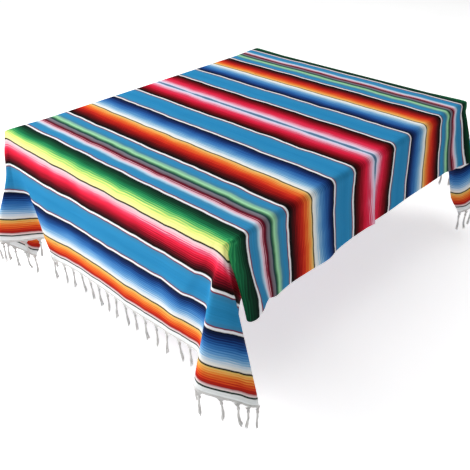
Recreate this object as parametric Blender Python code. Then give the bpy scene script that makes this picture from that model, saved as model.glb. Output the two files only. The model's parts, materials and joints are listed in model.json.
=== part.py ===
"""Serape blanket lying over a rectangular top: one woven panel and its two fringes.

Metres, +Z up. The origin is the middle of the underside of the flat part, where the
blanket rests. X runs along the stripes, Y across them, -Y is the near end.
"""
import math
from collections import namedtuple

import bmesh
import bpy
import numpy as np

PanelFold = namedtuple("PanelFold", "place outwards sideways")
CornerFold = namedtuple("CornerFold", "angle across along")
Onset = namedtuple("Onset", "start end_full side_full bulge shoulder")
TasselSection = namedtuple("TasselSection", "share half_width half_depth")

# Driving sizes of the blanket and of the rectangle it lies over
WALL = 0.0016
TOP_HALF_X = 0.492
TOP_HALF_Y = 0.647
SIDE_DROP = 0.262
NEAR_DROP = 0.387
FAR_DROP = 0.419
BEND = 0.020
CORNER_BEND = 0.007
BEND_RAMP = 0.150

# Fringe sizes
SEAM_GAP = 0.0009
WIDER_FAR = 0.034
SHORTER_NEAR = 0.050
SHORTER_FAR = 0.045
STRIP_HEIGHT = 0.006
TASSELS_PER_END = 33
TASSEL_LENGTH = 0.082
TASSEL_ROOT = 0.0064

# Tassel from its neck and knot to its tip, at shares of its length
TASSEL_SECTIONS = [
    TasselSection(0.07, 0.0022, 0.0018),
    TasselSection(0.16, 0.0042, 0.0036),
    TasselSection(0.27, 0.0028, 0.0026),
    TasselSection(0.65, 0.0033, 0.0030),
    TasselSection(1.00, 0.0040, 0.0032),
]

# The bend turns the cloth over the edge of the rectangle, so the straight core is smaller
CORE_X = TOP_HALF_X - BEND
CORE_Y = TOP_HALF_Y - BEND
BEND_EXTRA = BEND * (math.pi / 2 - 1)
SIDE_REACH = SIDE_DROP + BEND_EXTRA
NEAR_REACH = NEAR_DROP + BEND_EXTRA
FAR_REACH = FAR_DROP + BEND_EXTRA
FAN = 30.0

# Folds of a hanging panel: place along the edge in metres, then how far the cloth
# leans outwards and along the edge for each metre that it hangs
PANEL_FOLDS = {
    "near": [
        PanelFold(-0.492, 0.060, 0.060),
        PanelFold(-0.325, 0.095, 0.045),
        PanelFold(-0.197, 0.050, 0.020),
        PanelFold(0.000, 0.040, 0.000),
        PanelFold(0.148, 0.050, 0.000),
        PanelFold(0.276, 0.040, 0.000),
        PanelFold(0.354, 0.070, 0.000),
        PanelFold(0.492, 0.050, 0.000),
    ],
    "far": [
        PanelFold(-0.492, 0.050, 0.000),
        PanelFold(-0.197, 0.040, 0.000),
        PanelFold(0.098, 0.090, 0.010),
        PanelFold(0.276, 0.380, 0.080),
        PanelFold(0.370, 0.520, 0.110),
        PanelFold(0.492, 0.530, 0.110),
    ],
    "right": [
        PanelFold(-0.650, 0.085, 0.120),
        PanelFold(-0.512, 0.070, 0.110),
        PanelFold(-0.413, 0.050, 0.085),
        PanelFold(-0.315, 0.070, 0.070),
        PanelFold(-0.236, 0.095, 0.085),
        PanelFold(-0.187, 0.055, 0.075),
        PanelFold(-0.118, 0.040, 0.088),
        PanelFold(-0.055, 0.050, 0.110),
        PanelFold(-0.022, 0.066, 0.135),
        PanelFold(-0.004, 0.090, 0.155),
        PanelFold(0.006, 0.096, 0.160),
        PanelFold(0.013, 0.082, 0.115),
        PanelFold(0.021, 0.052, 0.035),
        PanelFold(0.029, 0.036, -0.030),
        PanelFold(0.040, 0.030, -0.040),
        PanelFold(0.069, 0.034, -0.022),
        PanelFold(0.138, 0.050, 0.015),
        PanelFold(0.266, 0.060, 0.030),
        PanelFold(0.374, 0.090, 0.060),
        PanelFold(0.492, 0.110, 0.090),
        PanelFold(0.650, 0.120, 0.100),
    ],
    "left": [
        PanelFold(-0.650, 0.070, 0.0),
        PanelFold(-0.295, 0.030, 0.0),
        PanelFold(-0.098, 0.090, 0.0),
        PanelFold(0.098, 0.030, 0.0),
        PanelFold(0.295, 0.080, 0.0),
        PanelFold(0.492, 0.050, 0.0),
        PanelFold(0.650, 0.060, 0.0),
    ],
}

# Folds of a corner: angle in the flat cloth, from square to the end to square to the
# side, then how far the cloth leans across and along the blanket for each metre down
CORNER_FOLDS = {
    ("right", "near"): [
        CornerFold(-30.0, -0.577, 0.045),
        CornerFold(-22.0, -0.395, 0.040),
        CornerFold(-15.0, -0.265, 0.035),
        CornerFold(-10.0, -0.180, 0.040),
        CornerFold(-6.0, -0.125, 0.070),
        CornerFold(-1.0, -0.060, 0.165),
        CornerFold(4.0, 0.010, 0.265),
        CornerFold(8.0, 0.055, 0.320),
        CornerFold(11.0, 0.100, 0.330),
        CornerFold(14.0, 0.160, 0.295),
        CornerFold(18.0, 0.230, 0.235),
        CornerFold(24.0, 0.295, 0.155),
        CornerFold(30.0, 0.315, 0.085),
        CornerFold(34.0, 0.300, 0.020),
        CornerFold(38.0, 0.245, -0.030),
        CornerFold(43.0, 0.165, -0.065),
        CornerFold(50.0, 0.045, -0.130),
        CornerFold(60.0, -0.105, -0.270),
        CornerFold(68.0, -0.190, -0.395),
        CornerFold(72.0, -0.205, -0.450),
        CornerFold(76.0, -0.170, -0.450),
        CornerFold(84.0, -0.030, -0.320),
        CornerFold(90.0, 0.048, -0.204),
        CornerFold(94.0, 0.097, -0.154),
        CornerFold(98.0, 0.143, -0.173),
        CornerFold(101.0, 0.165, -0.245),
        CornerFold(104.0, 0.140, -0.375),
        CornerFold(107.0, 0.105, -0.455),
        CornerFold(112.0, 0.080, -0.550),
        CornerFold(120.0, 0.085, -0.690),
    ],
    ("left", "near"): [
        CornerFold(-30.0, -0.625, 0.090),
        CornerFold(-27.0, -0.570, 0.110),
        CornerFold(-24.5, -0.520, 0.095),
        CornerFold(-22.0, -0.450, 0.030),
        CornerFold(-19.5, -0.360, -0.030),
        CornerFold(-16.0, -0.270, -0.055),
        CornerFold(-11.0, -0.190, -0.045),
        CornerFold(-6.0, -0.150, 0.020),
        CornerFold(-1.0, -0.110, 0.115),
        CornerFold(4.0, -0.050, 0.215),
        CornerFold(9.0, 0.020, 0.300),
        CornerFold(13.0, 0.060, 0.290),
        CornerFold(17.0, 0.055, 0.240),
        CornerFold(21.0, 0.010, 0.190),
        CornerFold(27.0, -0.070, 0.110),
        CornerFold(34.0, -0.115, 0.030),
        CornerFold(37.5, -0.120, -0.040),
        CornerFold(42.0, -0.050, -0.070),
        CornerFold(50.0, 0.080, 0.000),
        CornerFold(58.0, 0.200, 0.080),
        CornerFold(62.0, 0.250, 0.080),
        CornerFold(66.0, 0.240, 0.000),
        CornerFold(75.0, 0.100, -0.130),
        CornerFold(84.0, 0.000, -0.250),
        CornerFold(90.0, -0.020, -0.330),
        CornerFold(95.0, 0.030, -0.370),
        CornerFold(101.0, 0.120, -0.310),
        CornerFold(105.0, 0.170, -0.340),
        CornerFold(110.0, 0.130, -0.440),
        CornerFold(120.0, 0.070, -0.577),
    ],
    ("right", "far"): [
        CornerFold(-30.0, -0.467, 0.530),
        CornerFold(-20.0, -0.250, 0.540),
        CornerFold(-10.0, -0.080, 0.520),
        CornerFold(-2.0, 0.045, 0.470),
        CornerFold(5.0, 0.160, 0.375),
        CornerFold(11.0, 0.250, 0.270),
        CornerFold(15.0, 0.285, 0.180),
        CornerFold(20.0, 0.250, 0.130),
        CornerFold(26.0, 0.190, 0.115),
        CornerFold(30.0, 0.135, 0.120),
        CornerFold(33.0, 0.085, 0.135),
        CornerFold(36.0, 0.010, 0.160),
        CornerFold(39.0, -0.040, 0.215),
        CornerFold(45.0, -0.130, 0.310),
        CornerFold(50.0, -0.190, 0.325),
        CornerFold(57.0, -0.260, 0.240),
        CornerFold(65.0, -0.250, 0.090),
        CornerFold(72.0, -0.115, 0.010),
        CornerFold(78.0, 0.070, 0.010),
        CornerFold(82.0, 0.215, 0.030),
        CornerFold(86.0, 0.300, 0.035),
        CornerFold(90.0, 0.310, 0.010),
        CornerFold(94.0, 0.280, -0.030),
        CornerFold(98.0, 0.220, -0.085),
        CornerFold(107.0, 0.170, -0.220),
        CornerFold(120.0, 0.120, -0.500),
    ],
    ("left", "far"): [
        CornerFold(-30.0, -0.577, 0.050),
        CornerFold(-18.0, -0.325, 0.060),
        CornerFold(-9.0, -0.150, 0.090),
        CornerFold(-3.0, -0.060, 0.160),
        CornerFold(4.0, 0.020, 0.270),
        CornerFold(10.0, 0.070, 0.350),
        CornerFold(14.0, 0.110, 0.360),
        CornerFold(19.0, 0.170, 0.310),
        CornerFold(26.0, 0.240, 0.210),
        CornerFold(32.0, 0.260, 0.100),
        CornerFold(37.0, 0.240, 0.020),
        CornerFold(43.0, 0.170, -0.050),
        CornerFold(52.0, 0.030, -0.170),
        CornerFold(60.0, -0.100, -0.300),
        CornerFold(66.0, -0.170, -0.380),
        CornerFold(70.0, -0.170, -0.440),
        CornerFold(77.0, -0.070, -0.420),
        CornerFold(85.0, 0.050, -0.320),
        CornerFold(92.0, 0.140, -0.240),
        CornerFold(97.0, 0.180, -0.250),
        CornerFold(102.0, 0.170, -0.340),
        CornerFold(110.0, 0.100, -0.450),
        CornerFold(120.0, 0.060, -0.577),
    ],
}

# How a corner's folds set in: where they start, where those of its end and of its side
# are full, how far the cloth bulges, and how far the side's front fold is drawn up to
# the corner itself
CORNER_ONSET = {
    ("right", "near"): Onset(0.012, 0.160, 0.060, 0.22, 0.018),
    ("left", "near"): Onset(0.080, 0.340, 0.300, 0.15, 0.000),
    ("right", "far"): Onset(0.012, 0.110, 0.090, 0.15, 0.000),
    ("left", "far"): Onset(0.012, 0.110, 0.110, 0.15, 0.000),
}

# The cloth can't turn tighter than this in a fold, so folds are softer near the corner
FOLD_SOFTNESS = 0.0030
SOFTEST_ANGLE = 10.0
TIGHTEST_FOLD = 0.0016


def ease(value):
    """Smooth step from 0 to 1."""
    value = min(max(value, 0.0), 1.0)
    return value * value * (3.0 - 2.0 * value)


def row_slope(table, index, column):
    """Slope of a table's column at one row, weighted by the spacing of its rows."""
    last = len(table) - 1
    before = max(index - 1, 0)
    after = min(index + 1, last)
    if before == index or after == index:
        first, second = table[before], table[after]
        return (second[column] - first[column]) / (second[0] - first[0])
    gap_before = table[index][0] - table[before][0]
    gap_after = table[after][0] - table[index][0]
    slope_before = (table[index][column] - table[before][column]) / gap_before
    slope_after = (table[after][column] - table[index][column]) / gap_after
    return (slope_before * gap_after + slope_after * gap_before) / (gap_before + gap_after)


def read_table(table, place):
    """Smooth reading of a table's two value columns at a place in its first column."""
    place = min(max(place, table[0][0]), table[-1][0])
    index = 0
    while index < len(table) - 2 and place > table[index + 1][0]:
        index += 1
    step = table[index + 1][0] - table[index][0]
    k = (place - table[index][0]) / step
    values = []
    for column in (1, 2):
        start = table[index][column]
        end = table[index + 1][column]
        leave = row_slope(table, index, column) * step
        arrive = row_slope(table, index + 1, column) * step
        values.append(
            (2 * k**3 - 3 * k**2 + 1) * start
            + (k**3 - 2 * k**2 + k) * leave
            + (3 * k**2 - 2 * k**3) * end
            + (k**3 - k**2) * arrive
        )
    return values


def unit(vector):
    """Vector of length one."""
    return vector / np.linalg.norm(vector)


def bend_over(level, hanging, distance, bend, run):
    """Path that runs level and then turns into another direction over the bend."""
    flat = min(distance, run) * level
    distance = max(distance - run, 0.0)
    turn = math.acos(max(-1.0, min(1.0, float(level @ hanging))))
    length = bend * turn
    along = min(distance, length)
    angle = along / bend
    scale = bend / math.sin(turn)
    path = (math.cos(turn - angle) - math.cos(turn)) * level + (1.0 - math.cos(angle)) * hanging
    return flat + scale * path + hanging * max(distance - length, 0.0)


def edge_bend(from_corner):
    """Radius of an edge's bend, tighter close to the corners."""
    return CORNER_BEND + (BEND - CORNER_BEND) * ease(from_corner / BEND_RAMP)


def panel_point(side, place, distance):
    """Point of a hanging panel, from its place along the edge and its distance over it."""
    outwards, sideways = read_table(PANEL_FOLDS[side], place)
    growth = 0.7 * ease(distance / 0.10) + 0.3 * min(distance / 0.25, 1.0)
    if side in ("near", "far"):
        sign = -1.0 if side == "near" else 1.0
        foot = np.array([place, sign * CORE_Y, 0.0])
        level = np.array([0.0, sign, 0.0])
        along = np.array([1.0, 0.0, 0.0])
        bend = edge_bend(CORE_X - abs(place))
    else:
        sign = 1.0 if side == "right" else -1.0
        foot = np.array([sign * CORE_X, place, 0.0])
        level = np.array([sign, 0.0, 0.0])
        along = np.array([0.0, 1.0, 0.0])
        bend = edge_bend(CORE_Y - abs(place))
    hanging = unit(growth * (outwards * level + sideways * along) - np.array([0.0, 0.0, 1.0]))
    return foot + bend_over(level, hanging, distance, bend, BEND - bend)


def unfolded(corner, angle):
    """Direction of a corner's cloth before its folds set in."""
    table = CORNER_FOLDS[corner]
    end_lean = table[0].along
    side_lean = table[-1].across
    radians = math.radians(angle)
    if angle <= 0.0:
        across, along, down = math.sin(radians), end_lean * math.cos(radians), math.cos(radians)
    elif angle >= 90.0:
        across, along, down = side_lean * math.sin(radians), math.cos(radians), math.sin(radians)
    else:
        share = ease(angle / 90.0)
        bulge = CORNER_ONSET[corner].bulge * math.sin(2.0 * radians)
        across = side_lean * share + bulge
        along = end_lean * (1.0 - ease(angle / 45.0)) + bulge
        down = 1.0
    return unit(np.array([across, along, -down]))


def soft_slopes(corner, angle, distance):
    """Slopes of a corner's folds, rounded off where they are narrow."""
    width = SOFTEST_ANGLE
    if distance > 0.0:
        width = min(width, math.degrees(FOLD_SOFTNESS / distance))
    total = across = along = 0.0
    for step in (-2.0, -1.5, -1.0, -0.5, 0.0, 0.5, 1.0, 1.5, 2.0):
        weight = math.exp(-0.5 * step * step)
        slope_across, slope_along = read_table(CORNER_FOLDS[corner], angle + step * width)
        across += weight * slope_across
        along += weight * slope_along
        total += weight
    return across / total, along / total


def corner_point(corner, angle, distance):
    """Point of a corner's fan, from its angle and distance from the core's corner."""
    across, along = soft_slopes(corner, angle, distance)
    onset = CORNER_ONSET[corner]
    full = onset.end_full + (onset.side_full - onset.end_full) * ease((angle - 35.0) / 35.0)
    share = ease((distance - onset.start) / (full - onset.start))
    folded = unit(np.array([across, along, -1.0]))
    hanging = unit(folded * share + unfolded(corner, angle) * (1.0 - share))
    radians = math.radians(angle)
    level = np.array([math.sin(radians), math.cos(radians), 0.0])
    run = (BEND - CORNER_BEND) / (abs(level[0]) ** 6 + abs(level[1]) ** 6) ** (1 / 6)
    path = bend_over(level, hanging, distance, CORNER_BEND, run)
    shoulder = onset.shoulder * math.exp(-(((angle - 92.0) / 16.0) ** 2) - (distance / 0.12) ** 2)
    path[1] += shoulder * ease((distance - 0.018) / 0.035)
    sign_x = 1.0 if corner[0] == "right" else -1.0
    sign_y = -1.0 if corner[1] == "near" else 1.0
    return np.array([sign_x * (CORE_X + path[0]), sign_y * (CORE_Y + path[1]), path[2]])


def hang(x, y):
    """Middle of the draped cloth at a point of the flat blanket, before it is widened."""
    over_x = abs(x) - CORE_X
    over_y = abs(y) - CORE_Y
    if over_x <= 0.0 and over_y <= 0.0:
        return np.array([x, y, 0.0])
    corner = ("right" if x > 0 else "left", "near" if y < 0 else "far")
    angle = math.degrees(math.atan2(over_x, over_y))
    if x > CORE_X:
        inward = ease((y + 0.60) / 0.20) * ease((angle - 50.0) / 30.0)
        over_x *= 1.0 - (SHORTER_NEAR + SHORTER_FAR * ease((y + 0.3) / 0.9)) * inward
        angle = math.degrees(math.atan2(over_x, over_y))
    if over_x > 0.0 and over_y > 0.0:
        return corner_point(corner, angle, math.hypot(over_x, over_y))
    if over_y > 0.0:
        panel = panel_point(corner[1], x, over_y)
    else:
        panel = panel_point(corner[0], y, over_x)
    if angle <= -FAN or angle >= 90.0 + FAN:
        return panel
    share = min(ease((angle + FAN) / 10.0), ease((90.0 + FAN - angle) / 10.0))
    folded = corner_point(corner, angle, math.hypot(over_x, over_y))
    return panel * (1.0 - share) + folded * share


def drape(x, y):
    """Middle of the draped cloth, a little wider toward the far end than at the near one."""
    point = hang(x, y)
    point[0] *= 1.0 + WIDER_FAR * (point[1] + CORE_Y) / (2.0 * CORE_Y)
    return point


def cloth_normal(x, y):
    """Outward direction square to the draped cloth."""
    step = 0.0012
    to_x = drape(x + step, y) - drape(x - step, y)
    to_y = drape(x, y + step) - drape(x, y - step)
    return unit(np.cross(to_x, to_y))


def reach_of(corner, angle):
    """Distance in the flat cloth from the core's corner to the border."""
    end_reach = NEAR_REACH if corner[1] == "near" else FAR_REACH
    radians = math.radians(angle)
    lengths = []
    if math.sin(radians) > 1e-9:
        lengths.append(SIDE_REACH / math.sin(radians))
    if math.cos(radians) > 1e-9:
        lengths.append(end_reach / math.cos(radians))
    return min(lengths)


def fan_angles(corner):
    """Angles of a corner's rulings: every fold row, one between far ones, and the tip."""
    end_reach = NEAR_REACH if corner[1] == "near" else FAR_REACH
    tip = math.degrees(math.atan2(SIDE_REACH, end_reach))
    rows = [row[0] for row in CORNER_FOLDS[corner] if abs(row[0] - tip) > 1.2]
    rows = sorted(rows + [tip])
    angles = []
    for first, second in zip(rows, rows[1:]):
        parts = max(1, math.ceil((second - first) / 5.2))
        angles += [first + (second - first) * part / parts for part in range(parts)]
    return angles + [rows[-1]]


def panel_places(side, low, high, parts):
    """Places along a panel's border: even ones and the rows of its fold table."""
    even = [low + (high - low) * part / parts for part in range(1, parts)]
    rows = [row[0] for row in PANEL_FOLDS[side] if low + 0.01 < row[0] < high - 0.01]
    kept = list(rows)
    kept += [place for place in even if all(abs(place - row) > 0.014 for row in rows)]
    return sorted(kept)


def rulings():
    """Straight lines of the flat cloth from the core to the border, once around."""
    lines = []
    order = [("right", "near"), ("right", "far"), ("left", "far"), ("left", "near")]
    for number, corner in enumerate(order):
        sign_x = 1.0 if corner[0] == "right" else -1.0
        sign_y = -1.0 if corner[1] == "near" else 1.0
        angles = fan_angles(corner)
        if corner in (("right", "far"), ("left", "near")):
            angles = angles[::-1]
        core = (sign_x * CORE_X, sign_y * CORE_Y)
        for angle in angles:
            reach = reach_of(corner, angle)
            radians = math.radians(angle)
            end_x = sign_x * (CORE_X + reach * math.sin(radians))
            end_y = sign_y * (CORE_Y + reach * math.cos(radians))
            lines.append((core, (end_x, end_y)))
        lines += panel_rulings(number)
    return lines


def panel_rulings(number):
    """Rulings of the panel that follows a corner, going anticlockwise from above."""
    side = ("right", "far", "left", "near")[number]
    spread = math.tan(math.radians(FAN))
    if side in ("right", "left"):
        sign = 1.0 if side == "right" else -1.0
        low = -CORE_Y + SIDE_REACH * spread
        places = panel_places(side, low, -low, 20)
        if side == "left":
            places = places[::-1]
        lines = []
        for place in places:
            lines.append(((sign * CORE_X, place * CORE_Y / -low), (sign * (CORE_X + SIDE_REACH), place)))
        return lines
    sign = 1.0 if side == "far" else -1.0
    reach = FAR_REACH if side == "far" else NEAR_REACH
    low = -CORE_X + reach * spread
    places = panel_places(side, low, -low, 10)
    if side == "far":
        places = places[::-1]
    lines = []
    for place in places:
        lines.append(((place * CORE_X / -low, sign * CORE_Y), (place, sign * (CORE_Y + reach))))
    return lines


def ring_distance(reach, ring, rings):
    """Distance of a ring from the core: fixed over the bend, then even to the border."""
    fixed = (0.0, 0.010, 0.016, 0.022, 0.030, 0.044, 0.070)
    if ring < len(fixed):
        return fixed[ring]
    share = (ring - len(fixed) + 1) / (rings - len(fixed))
    return fixed[-1] + (reach - fixed[-1]) * share


def make_material(name, colour, roughness):
    """Plain material of one sub-part."""
    material = bpy.data.materials.new(name)
    material.use_nodes = True
    shader = material.node_tree.nodes["Principled BSDF"]
    shader.inputs["Base Color"].default_value = (*colour, 1.0)
    shader.inputs["Roughness"].default_value = roughness
    shader.inputs["Metallic"].default_value = 0.0
    material.diffuse_color = (*colour, 1.0)
    return material


def add_object(name, mesh, material):
    """Object with its material, shaded smooth where its faces meet gently."""
    mesh.materials.append(material)
    item = bpy.data.objects.new(name, mesh)
    bpy.context.scene.collection.objects.link(item)
    for polygon in mesh.polygons:
        polygon.use_smooth = True
    return item


def add_patch(mesh, skins, index, following, ring):
    """One patch of both skins, split along the same diagonal so they stay parallel."""
    outer = skins[0][0]
    first, second = outer[index][ring], outer[following][ring + 1]
    third, fourth = outer[following][ring], outer[index][ring + 1]
    falling = (first.co - second.co).length <= (third.co - fourth.co).length
    for (columns, _), outside in zip(skins, (True, False)):
        here, there = columns[index], columns[following]
        if here[ring] is there[ring]:
            parts = [[here[ring], here[ring + 1], there[ring + 1]]]
        elif falling:
            parts = [
                [here[ring], here[ring + 1], there[ring + 1]],
                [here[ring], there[ring + 1], there[ring]],
            ]
        else:
            parts = [
                [here[ring], here[ring + 1], there[ring]],
                [here[ring + 1], there[ring + 1], there[ring]],
            ]
        for part in parts:
            mesh.faces.new(part if outside else part[::-1])


def middle_surface(lines, rings):
    """Middle of the wall as a grid of points: a row for each ruling, a column a ring."""
    grid = np.zeros((len(lines), rings, 3))
    for index, (core, end) in enumerate(lines):
        span = (end[0] - core[0], end[1] - core[1])
        reach = math.hypot(*span)
        for ring in range(rings):
            share = ring_distance(reach, ring, rings) / reach
            grid[index, ring] = drape(core[0] + span[0] * share, core[1] + span[1] * share)
    return loosen_folds(grid)


def loosen_folds(grid):
    """Round off folds that turn tighter than the wall allows, ring by ring."""
    for _ in range(60):
        before = np.roll(grid, 1, axis=0)
        after = np.roll(grid, -1, axis=0)
        first = grid - before
        second = after - grid
        length_first = np.linalg.norm(first, axis=2) + 1e-9
        length_second = np.linalg.norm(second, axis=2) + 1e-9
        cosine = np.sum(first * second, axis=2) / (length_first * length_second)
        turn = np.arccos(np.clip(cosine, -1.0, 1.0))
        radius = np.minimum(length_first, length_second) / np.maximum(2.0 * np.tan(turn / 2), 1e-6)
        tight = (radius < TIGHTEST_FOLD) & (turn > 0.25)
        tight[:, :1] = False
        if not tight.any():
            break
        near = tight | np.roll(tight, 1, axis=0) | np.roll(tight, -1, axis=0)
        share = near[:, :, None] * 0.5
        grid = grid + share * ((before + after) / 2 - grid)
    return grid


def grid_normals(grid):
    """Outward directions square to the grid, from the points around each one."""
    across = np.roll(grid, -1, axis=0) - np.roll(grid, 1, axis=0)
    down = np.zeros_like(grid)
    down[:, 1:-1] = grid[:, 2:] - grid[:, :-2]
    down[:, -1] = grid[:, -1] - grid[:, -2]
    down[:, 0] = grid[:, 1] - grid[:, 0]
    normals = np.cross(down, across)
    lengths = np.linalg.norm(normals, axis=2, keepdims=True)
    normals = normals / np.maximum(lengths, 1e-12)
    normals[:, 0] = (0.0, 0.0, 1.0)
    return normals


def build_cloth(material):
    """Woven panel: a thin wall on the draped surface, closed all round its border."""
    rings = 13
    lines = rulings()
    grid = middle_surface(lines, rings)
    normals = grid_normals(grid)
    mesh = bmesh.new()
    lift = np.array([0.0, 0.0, WALL / 2])
    skins = []
    for side in (1.0, -1.0):
        columns = []
        cores = {}
        for index, (core, _) in enumerate(lines):
            key = (round(core[0], 7), round(core[1], 7))
            if key not in cores:
                cores[key] = mesh.verts.new(grid[index, 0] + lift + side * lift)
            column = [cores[key]]
            for ring in range(1, rings):
                offset = side * normals[index, ring] * WALL / 2
                column.append(mesh.verts.new(grid[index, ring] + lift + offset))
            columns.append(column)
        skins.append((columns, list(cores.values())))
    count = len(lines)
    for index in range(count):
        following = (index + 1) % count
        for ring in range(rings - 1):
            add_patch(mesh, skins, index, following, ring)
    for (_, cores), outer in zip(skins, (True, False)):
        mesh.faces.new(cores if outer else cores[::-1])
    outer_columns, inner_columns = skins[0][0], skins[1][0]
    for index in range(count):
        following = (index + 1) % count
        mesh.faces.new(
            [
                outer_columns[index][-1],
                inner_columns[index][-1],
                inner_columns[following][-1],
                outer_columns[following][-1],
            ]
        )
    bmesh.ops.triangulate(mesh, faces=[face for face in mesh.faces if len(face.verts) > 4])
    bmesh.ops.recalc_face_normals(mesh, faces=mesh.faces)
    data = bpy.data.meshes.new("serape_cloth")
    mesh.to_mesh(data)
    mesh.free()
    return add_object("serape_cloth", data, material)


def sway(number, end):
    """Small steady difference between one tassel and the next, from -1 to 1."""
    return math.sin(number * 2.39996 + (0.7 if end == "near" else 2.1))


def build_fringe(name, end, material):
    """Narrow strip under the hem with a row of four-sided tassels grown from it."""
    sign = -1.0 if end == "near" else 1.0
    reach = NEAR_REACH if end == "near" else FAR_REACH
    hem = CORE_Y + reach + SEAM_GAP
    foot = hem + STRIP_HEIGHT
    half = CORE_X + SIDE_REACH
    pitch = (2.0 * half - 2.0 * TASSEL_ROOT) / (TASSELS_PER_END - 1)
    centres = [-half + TASSEL_ROOT + pitch * number for number in range(TASSELS_PER_END)]
    stations = [-half]
    for number, centre in enumerate(centres):
        stations += [centre - TASSEL_ROOT / 2, centre + TASSEL_ROOT / 2]
        if number < TASSELS_PER_END - 1:
            gap = pitch - TASSEL_ROOT
            stations += [centre + TASSEL_ROOT / 2 + gap * part / 3 for part in (1, 2)]
    stations.append(half)
    mesh = bmesh.new()
    lift = np.array([0.0, 0.0, WALL / 2])
    rows = []
    for x in stations:
        normal = cloth_normal(min(max(x, -half + 0.002), half - 0.002), sign * (hem - 0.003))
        top = drape(x, sign * hem) + lift
        bottom = drape(x, sign * foot) + lift
        row = []
        for point in (top, bottom):
            row.append(mesh.verts.new(point + normal * WALL / 2))
            row.append(mesh.verts.new(point - normal * WALL / 2))
        rows.append(row)
    roots = [(index, index + 1) for index in range(1, len(stations) - 2, 4)]
    for index in range(len(stations) - 1):
        here, there = rows[index], rows[index + 1]
        mesh.faces.new([here[0], here[2], there[2], there[0]])
        mesh.faces.new([here[1], there[1], there[3], here[3]])
        mesh.faces.new([here[0], there[0], there[1], here[1]])
        if (index, index + 1) not in roots:
            mesh.faces.new([here[2], here[3], there[3], there[2]])
    mesh.faces.new([rows[0][0], rows[0][1], rows[0][3], rows[0][2]])
    mesh.faces.new([rows[-1][0], rows[-1][2], rows[-1][3], rows[-1][1]])
    for number, (first, second) in enumerate(roots):
        grow_tassel(mesh, rows[first], rows[second], number, end)
    bmesh.ops.recalc_face_normals(mesh, faces=mesh.faces)
    data = bpy.data.meshes.new(name)
    mesh.to_mesh(data)
    mesh.free()
    return add_object(name, data, material)


def grow_tassel(mesh, left, right, number, end):
    """Tassel on the foot of the strip: neck, knot, cord and a slightly wider tip."""
    root = [left[2], left[3], right[3], right[2]]
    corners = [np.array(vertex.co) for vertex in root]
    centre = sum(corners) / 4
    hem_way = unit((corners[3] + corners[2]) - (corners[0] + corners[1]))
    outer_way = np.array(left[2].co) - np.array(left[0].co)
    inner_way = np.array(left[3].co) - np.array(left[1].co)
    cloth_way = unit(outer_way + inner_way)
    down = np.array([0.0, 0.0, -1.0])
    swing = sway(number, end)
    length = TASSEL_LENGTH * (1.0 + 0.06 * sway(3 * number + 1, end))
    previous = root
    place = centre
    gone = 0.0
    for share, width, depth in TASSEL_SECTIONS:
        sideways = hem_way * 0.13 * swing * share
        way = unit(cloth_way * max(0.0, 0.55 - share) + down * (0.45 + share) + sideways)
        place = place + way * (share - gone) * length
        gone = share
        wide = unit(hem_way - way * float(hem_way @ way))
        deep = np.cross(way, wide)
        outer = np.array(left[2].co) - np.array(left[3].co)
        if float(deep @ outer) < 0.0:
            deep = -deep
        signs = ((-1, 1), (-1, -1), (1, -1), (1, 1))
        ring = [mesh.verts.new(place + wide * width * a + deep * depth * b) for a, b in signs]
        for index in range(4):
            following = (index + 1) % 4
            mesh.faces.new([previous[index], ring[index], ring[following], previous[following]])
        previous = ring
    mesh.faces.new(previous)


def main():
    """Clear the scene and build the blanket."""
    for item in list(bpy.data.objects):
        bpy.data.objects.remove(item, do_unlink=True)
    weave = make_material("striped_weave", (0.16, 0.40, 0.62), 0.9)
    white = make_material("fringe_yarn", (0.86, 0.85, 0.82), 0.95)
    build_cloth(weave)
    build_fringe("fringe_near", "near", white)
    build_fringe("fringe_far", "far", white)


main()
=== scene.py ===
import json
import logging
import math
from dataclasses import dataclass, field
from enum import Enum
from typing import NamedTuple

import bmesh
import bpy
import numpy as np
from mathutils import Matrix, Vector

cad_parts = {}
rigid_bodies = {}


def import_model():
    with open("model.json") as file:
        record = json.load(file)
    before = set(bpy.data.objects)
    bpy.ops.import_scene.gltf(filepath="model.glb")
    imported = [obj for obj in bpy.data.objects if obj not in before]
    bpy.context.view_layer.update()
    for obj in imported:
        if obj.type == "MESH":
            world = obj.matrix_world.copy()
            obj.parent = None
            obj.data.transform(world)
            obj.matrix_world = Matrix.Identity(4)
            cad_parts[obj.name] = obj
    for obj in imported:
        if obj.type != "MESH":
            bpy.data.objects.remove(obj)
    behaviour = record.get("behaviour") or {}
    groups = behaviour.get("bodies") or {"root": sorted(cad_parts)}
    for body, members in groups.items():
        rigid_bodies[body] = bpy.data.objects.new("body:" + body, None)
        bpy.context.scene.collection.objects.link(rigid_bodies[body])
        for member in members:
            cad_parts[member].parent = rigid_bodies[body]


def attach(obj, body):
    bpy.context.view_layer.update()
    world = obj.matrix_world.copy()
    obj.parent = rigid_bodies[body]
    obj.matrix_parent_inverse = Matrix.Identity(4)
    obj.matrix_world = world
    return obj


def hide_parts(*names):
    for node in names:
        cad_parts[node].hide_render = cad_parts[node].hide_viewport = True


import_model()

log = logging.getLogger("serape")
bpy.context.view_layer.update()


class End(Enum):
    """The blanket's two fringed ends, with the sign of Y at each."""

    NEAR = -1.0
    FAR = 1.0


class Side(Enum):
    """The blanket's two selvedge sides, with the sign of X at each."""

    RIGHT = 1.0
    LEFT = -1.0


class PanelFold(NamedTuple):
    """Lean of a hanging panel at a place along its edge, for each metre that it hangs."""

    place: float
    outwards: float
    sideways: float


class CornerFold(NamedTuple):
    """Lean of a corner's cloth at an angle in the flat cloth, for each metre down."""

    angle: float
    across: float
    along: float


class Onset(NamedTuple):
    """Where a corner's folds start and are full on each leg, its early bulge and its shoulder."""

    start: float
    end_full: float
    side_full: float
    bulge: float
    shoulder: float


class Crease(NamedTuple):
    """Soft trough or ridge across the flat cloth: middle, run, heading, width, height."""

    x: float
    y: float
    length: float
    heading: float
    width: float
    height: float


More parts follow.
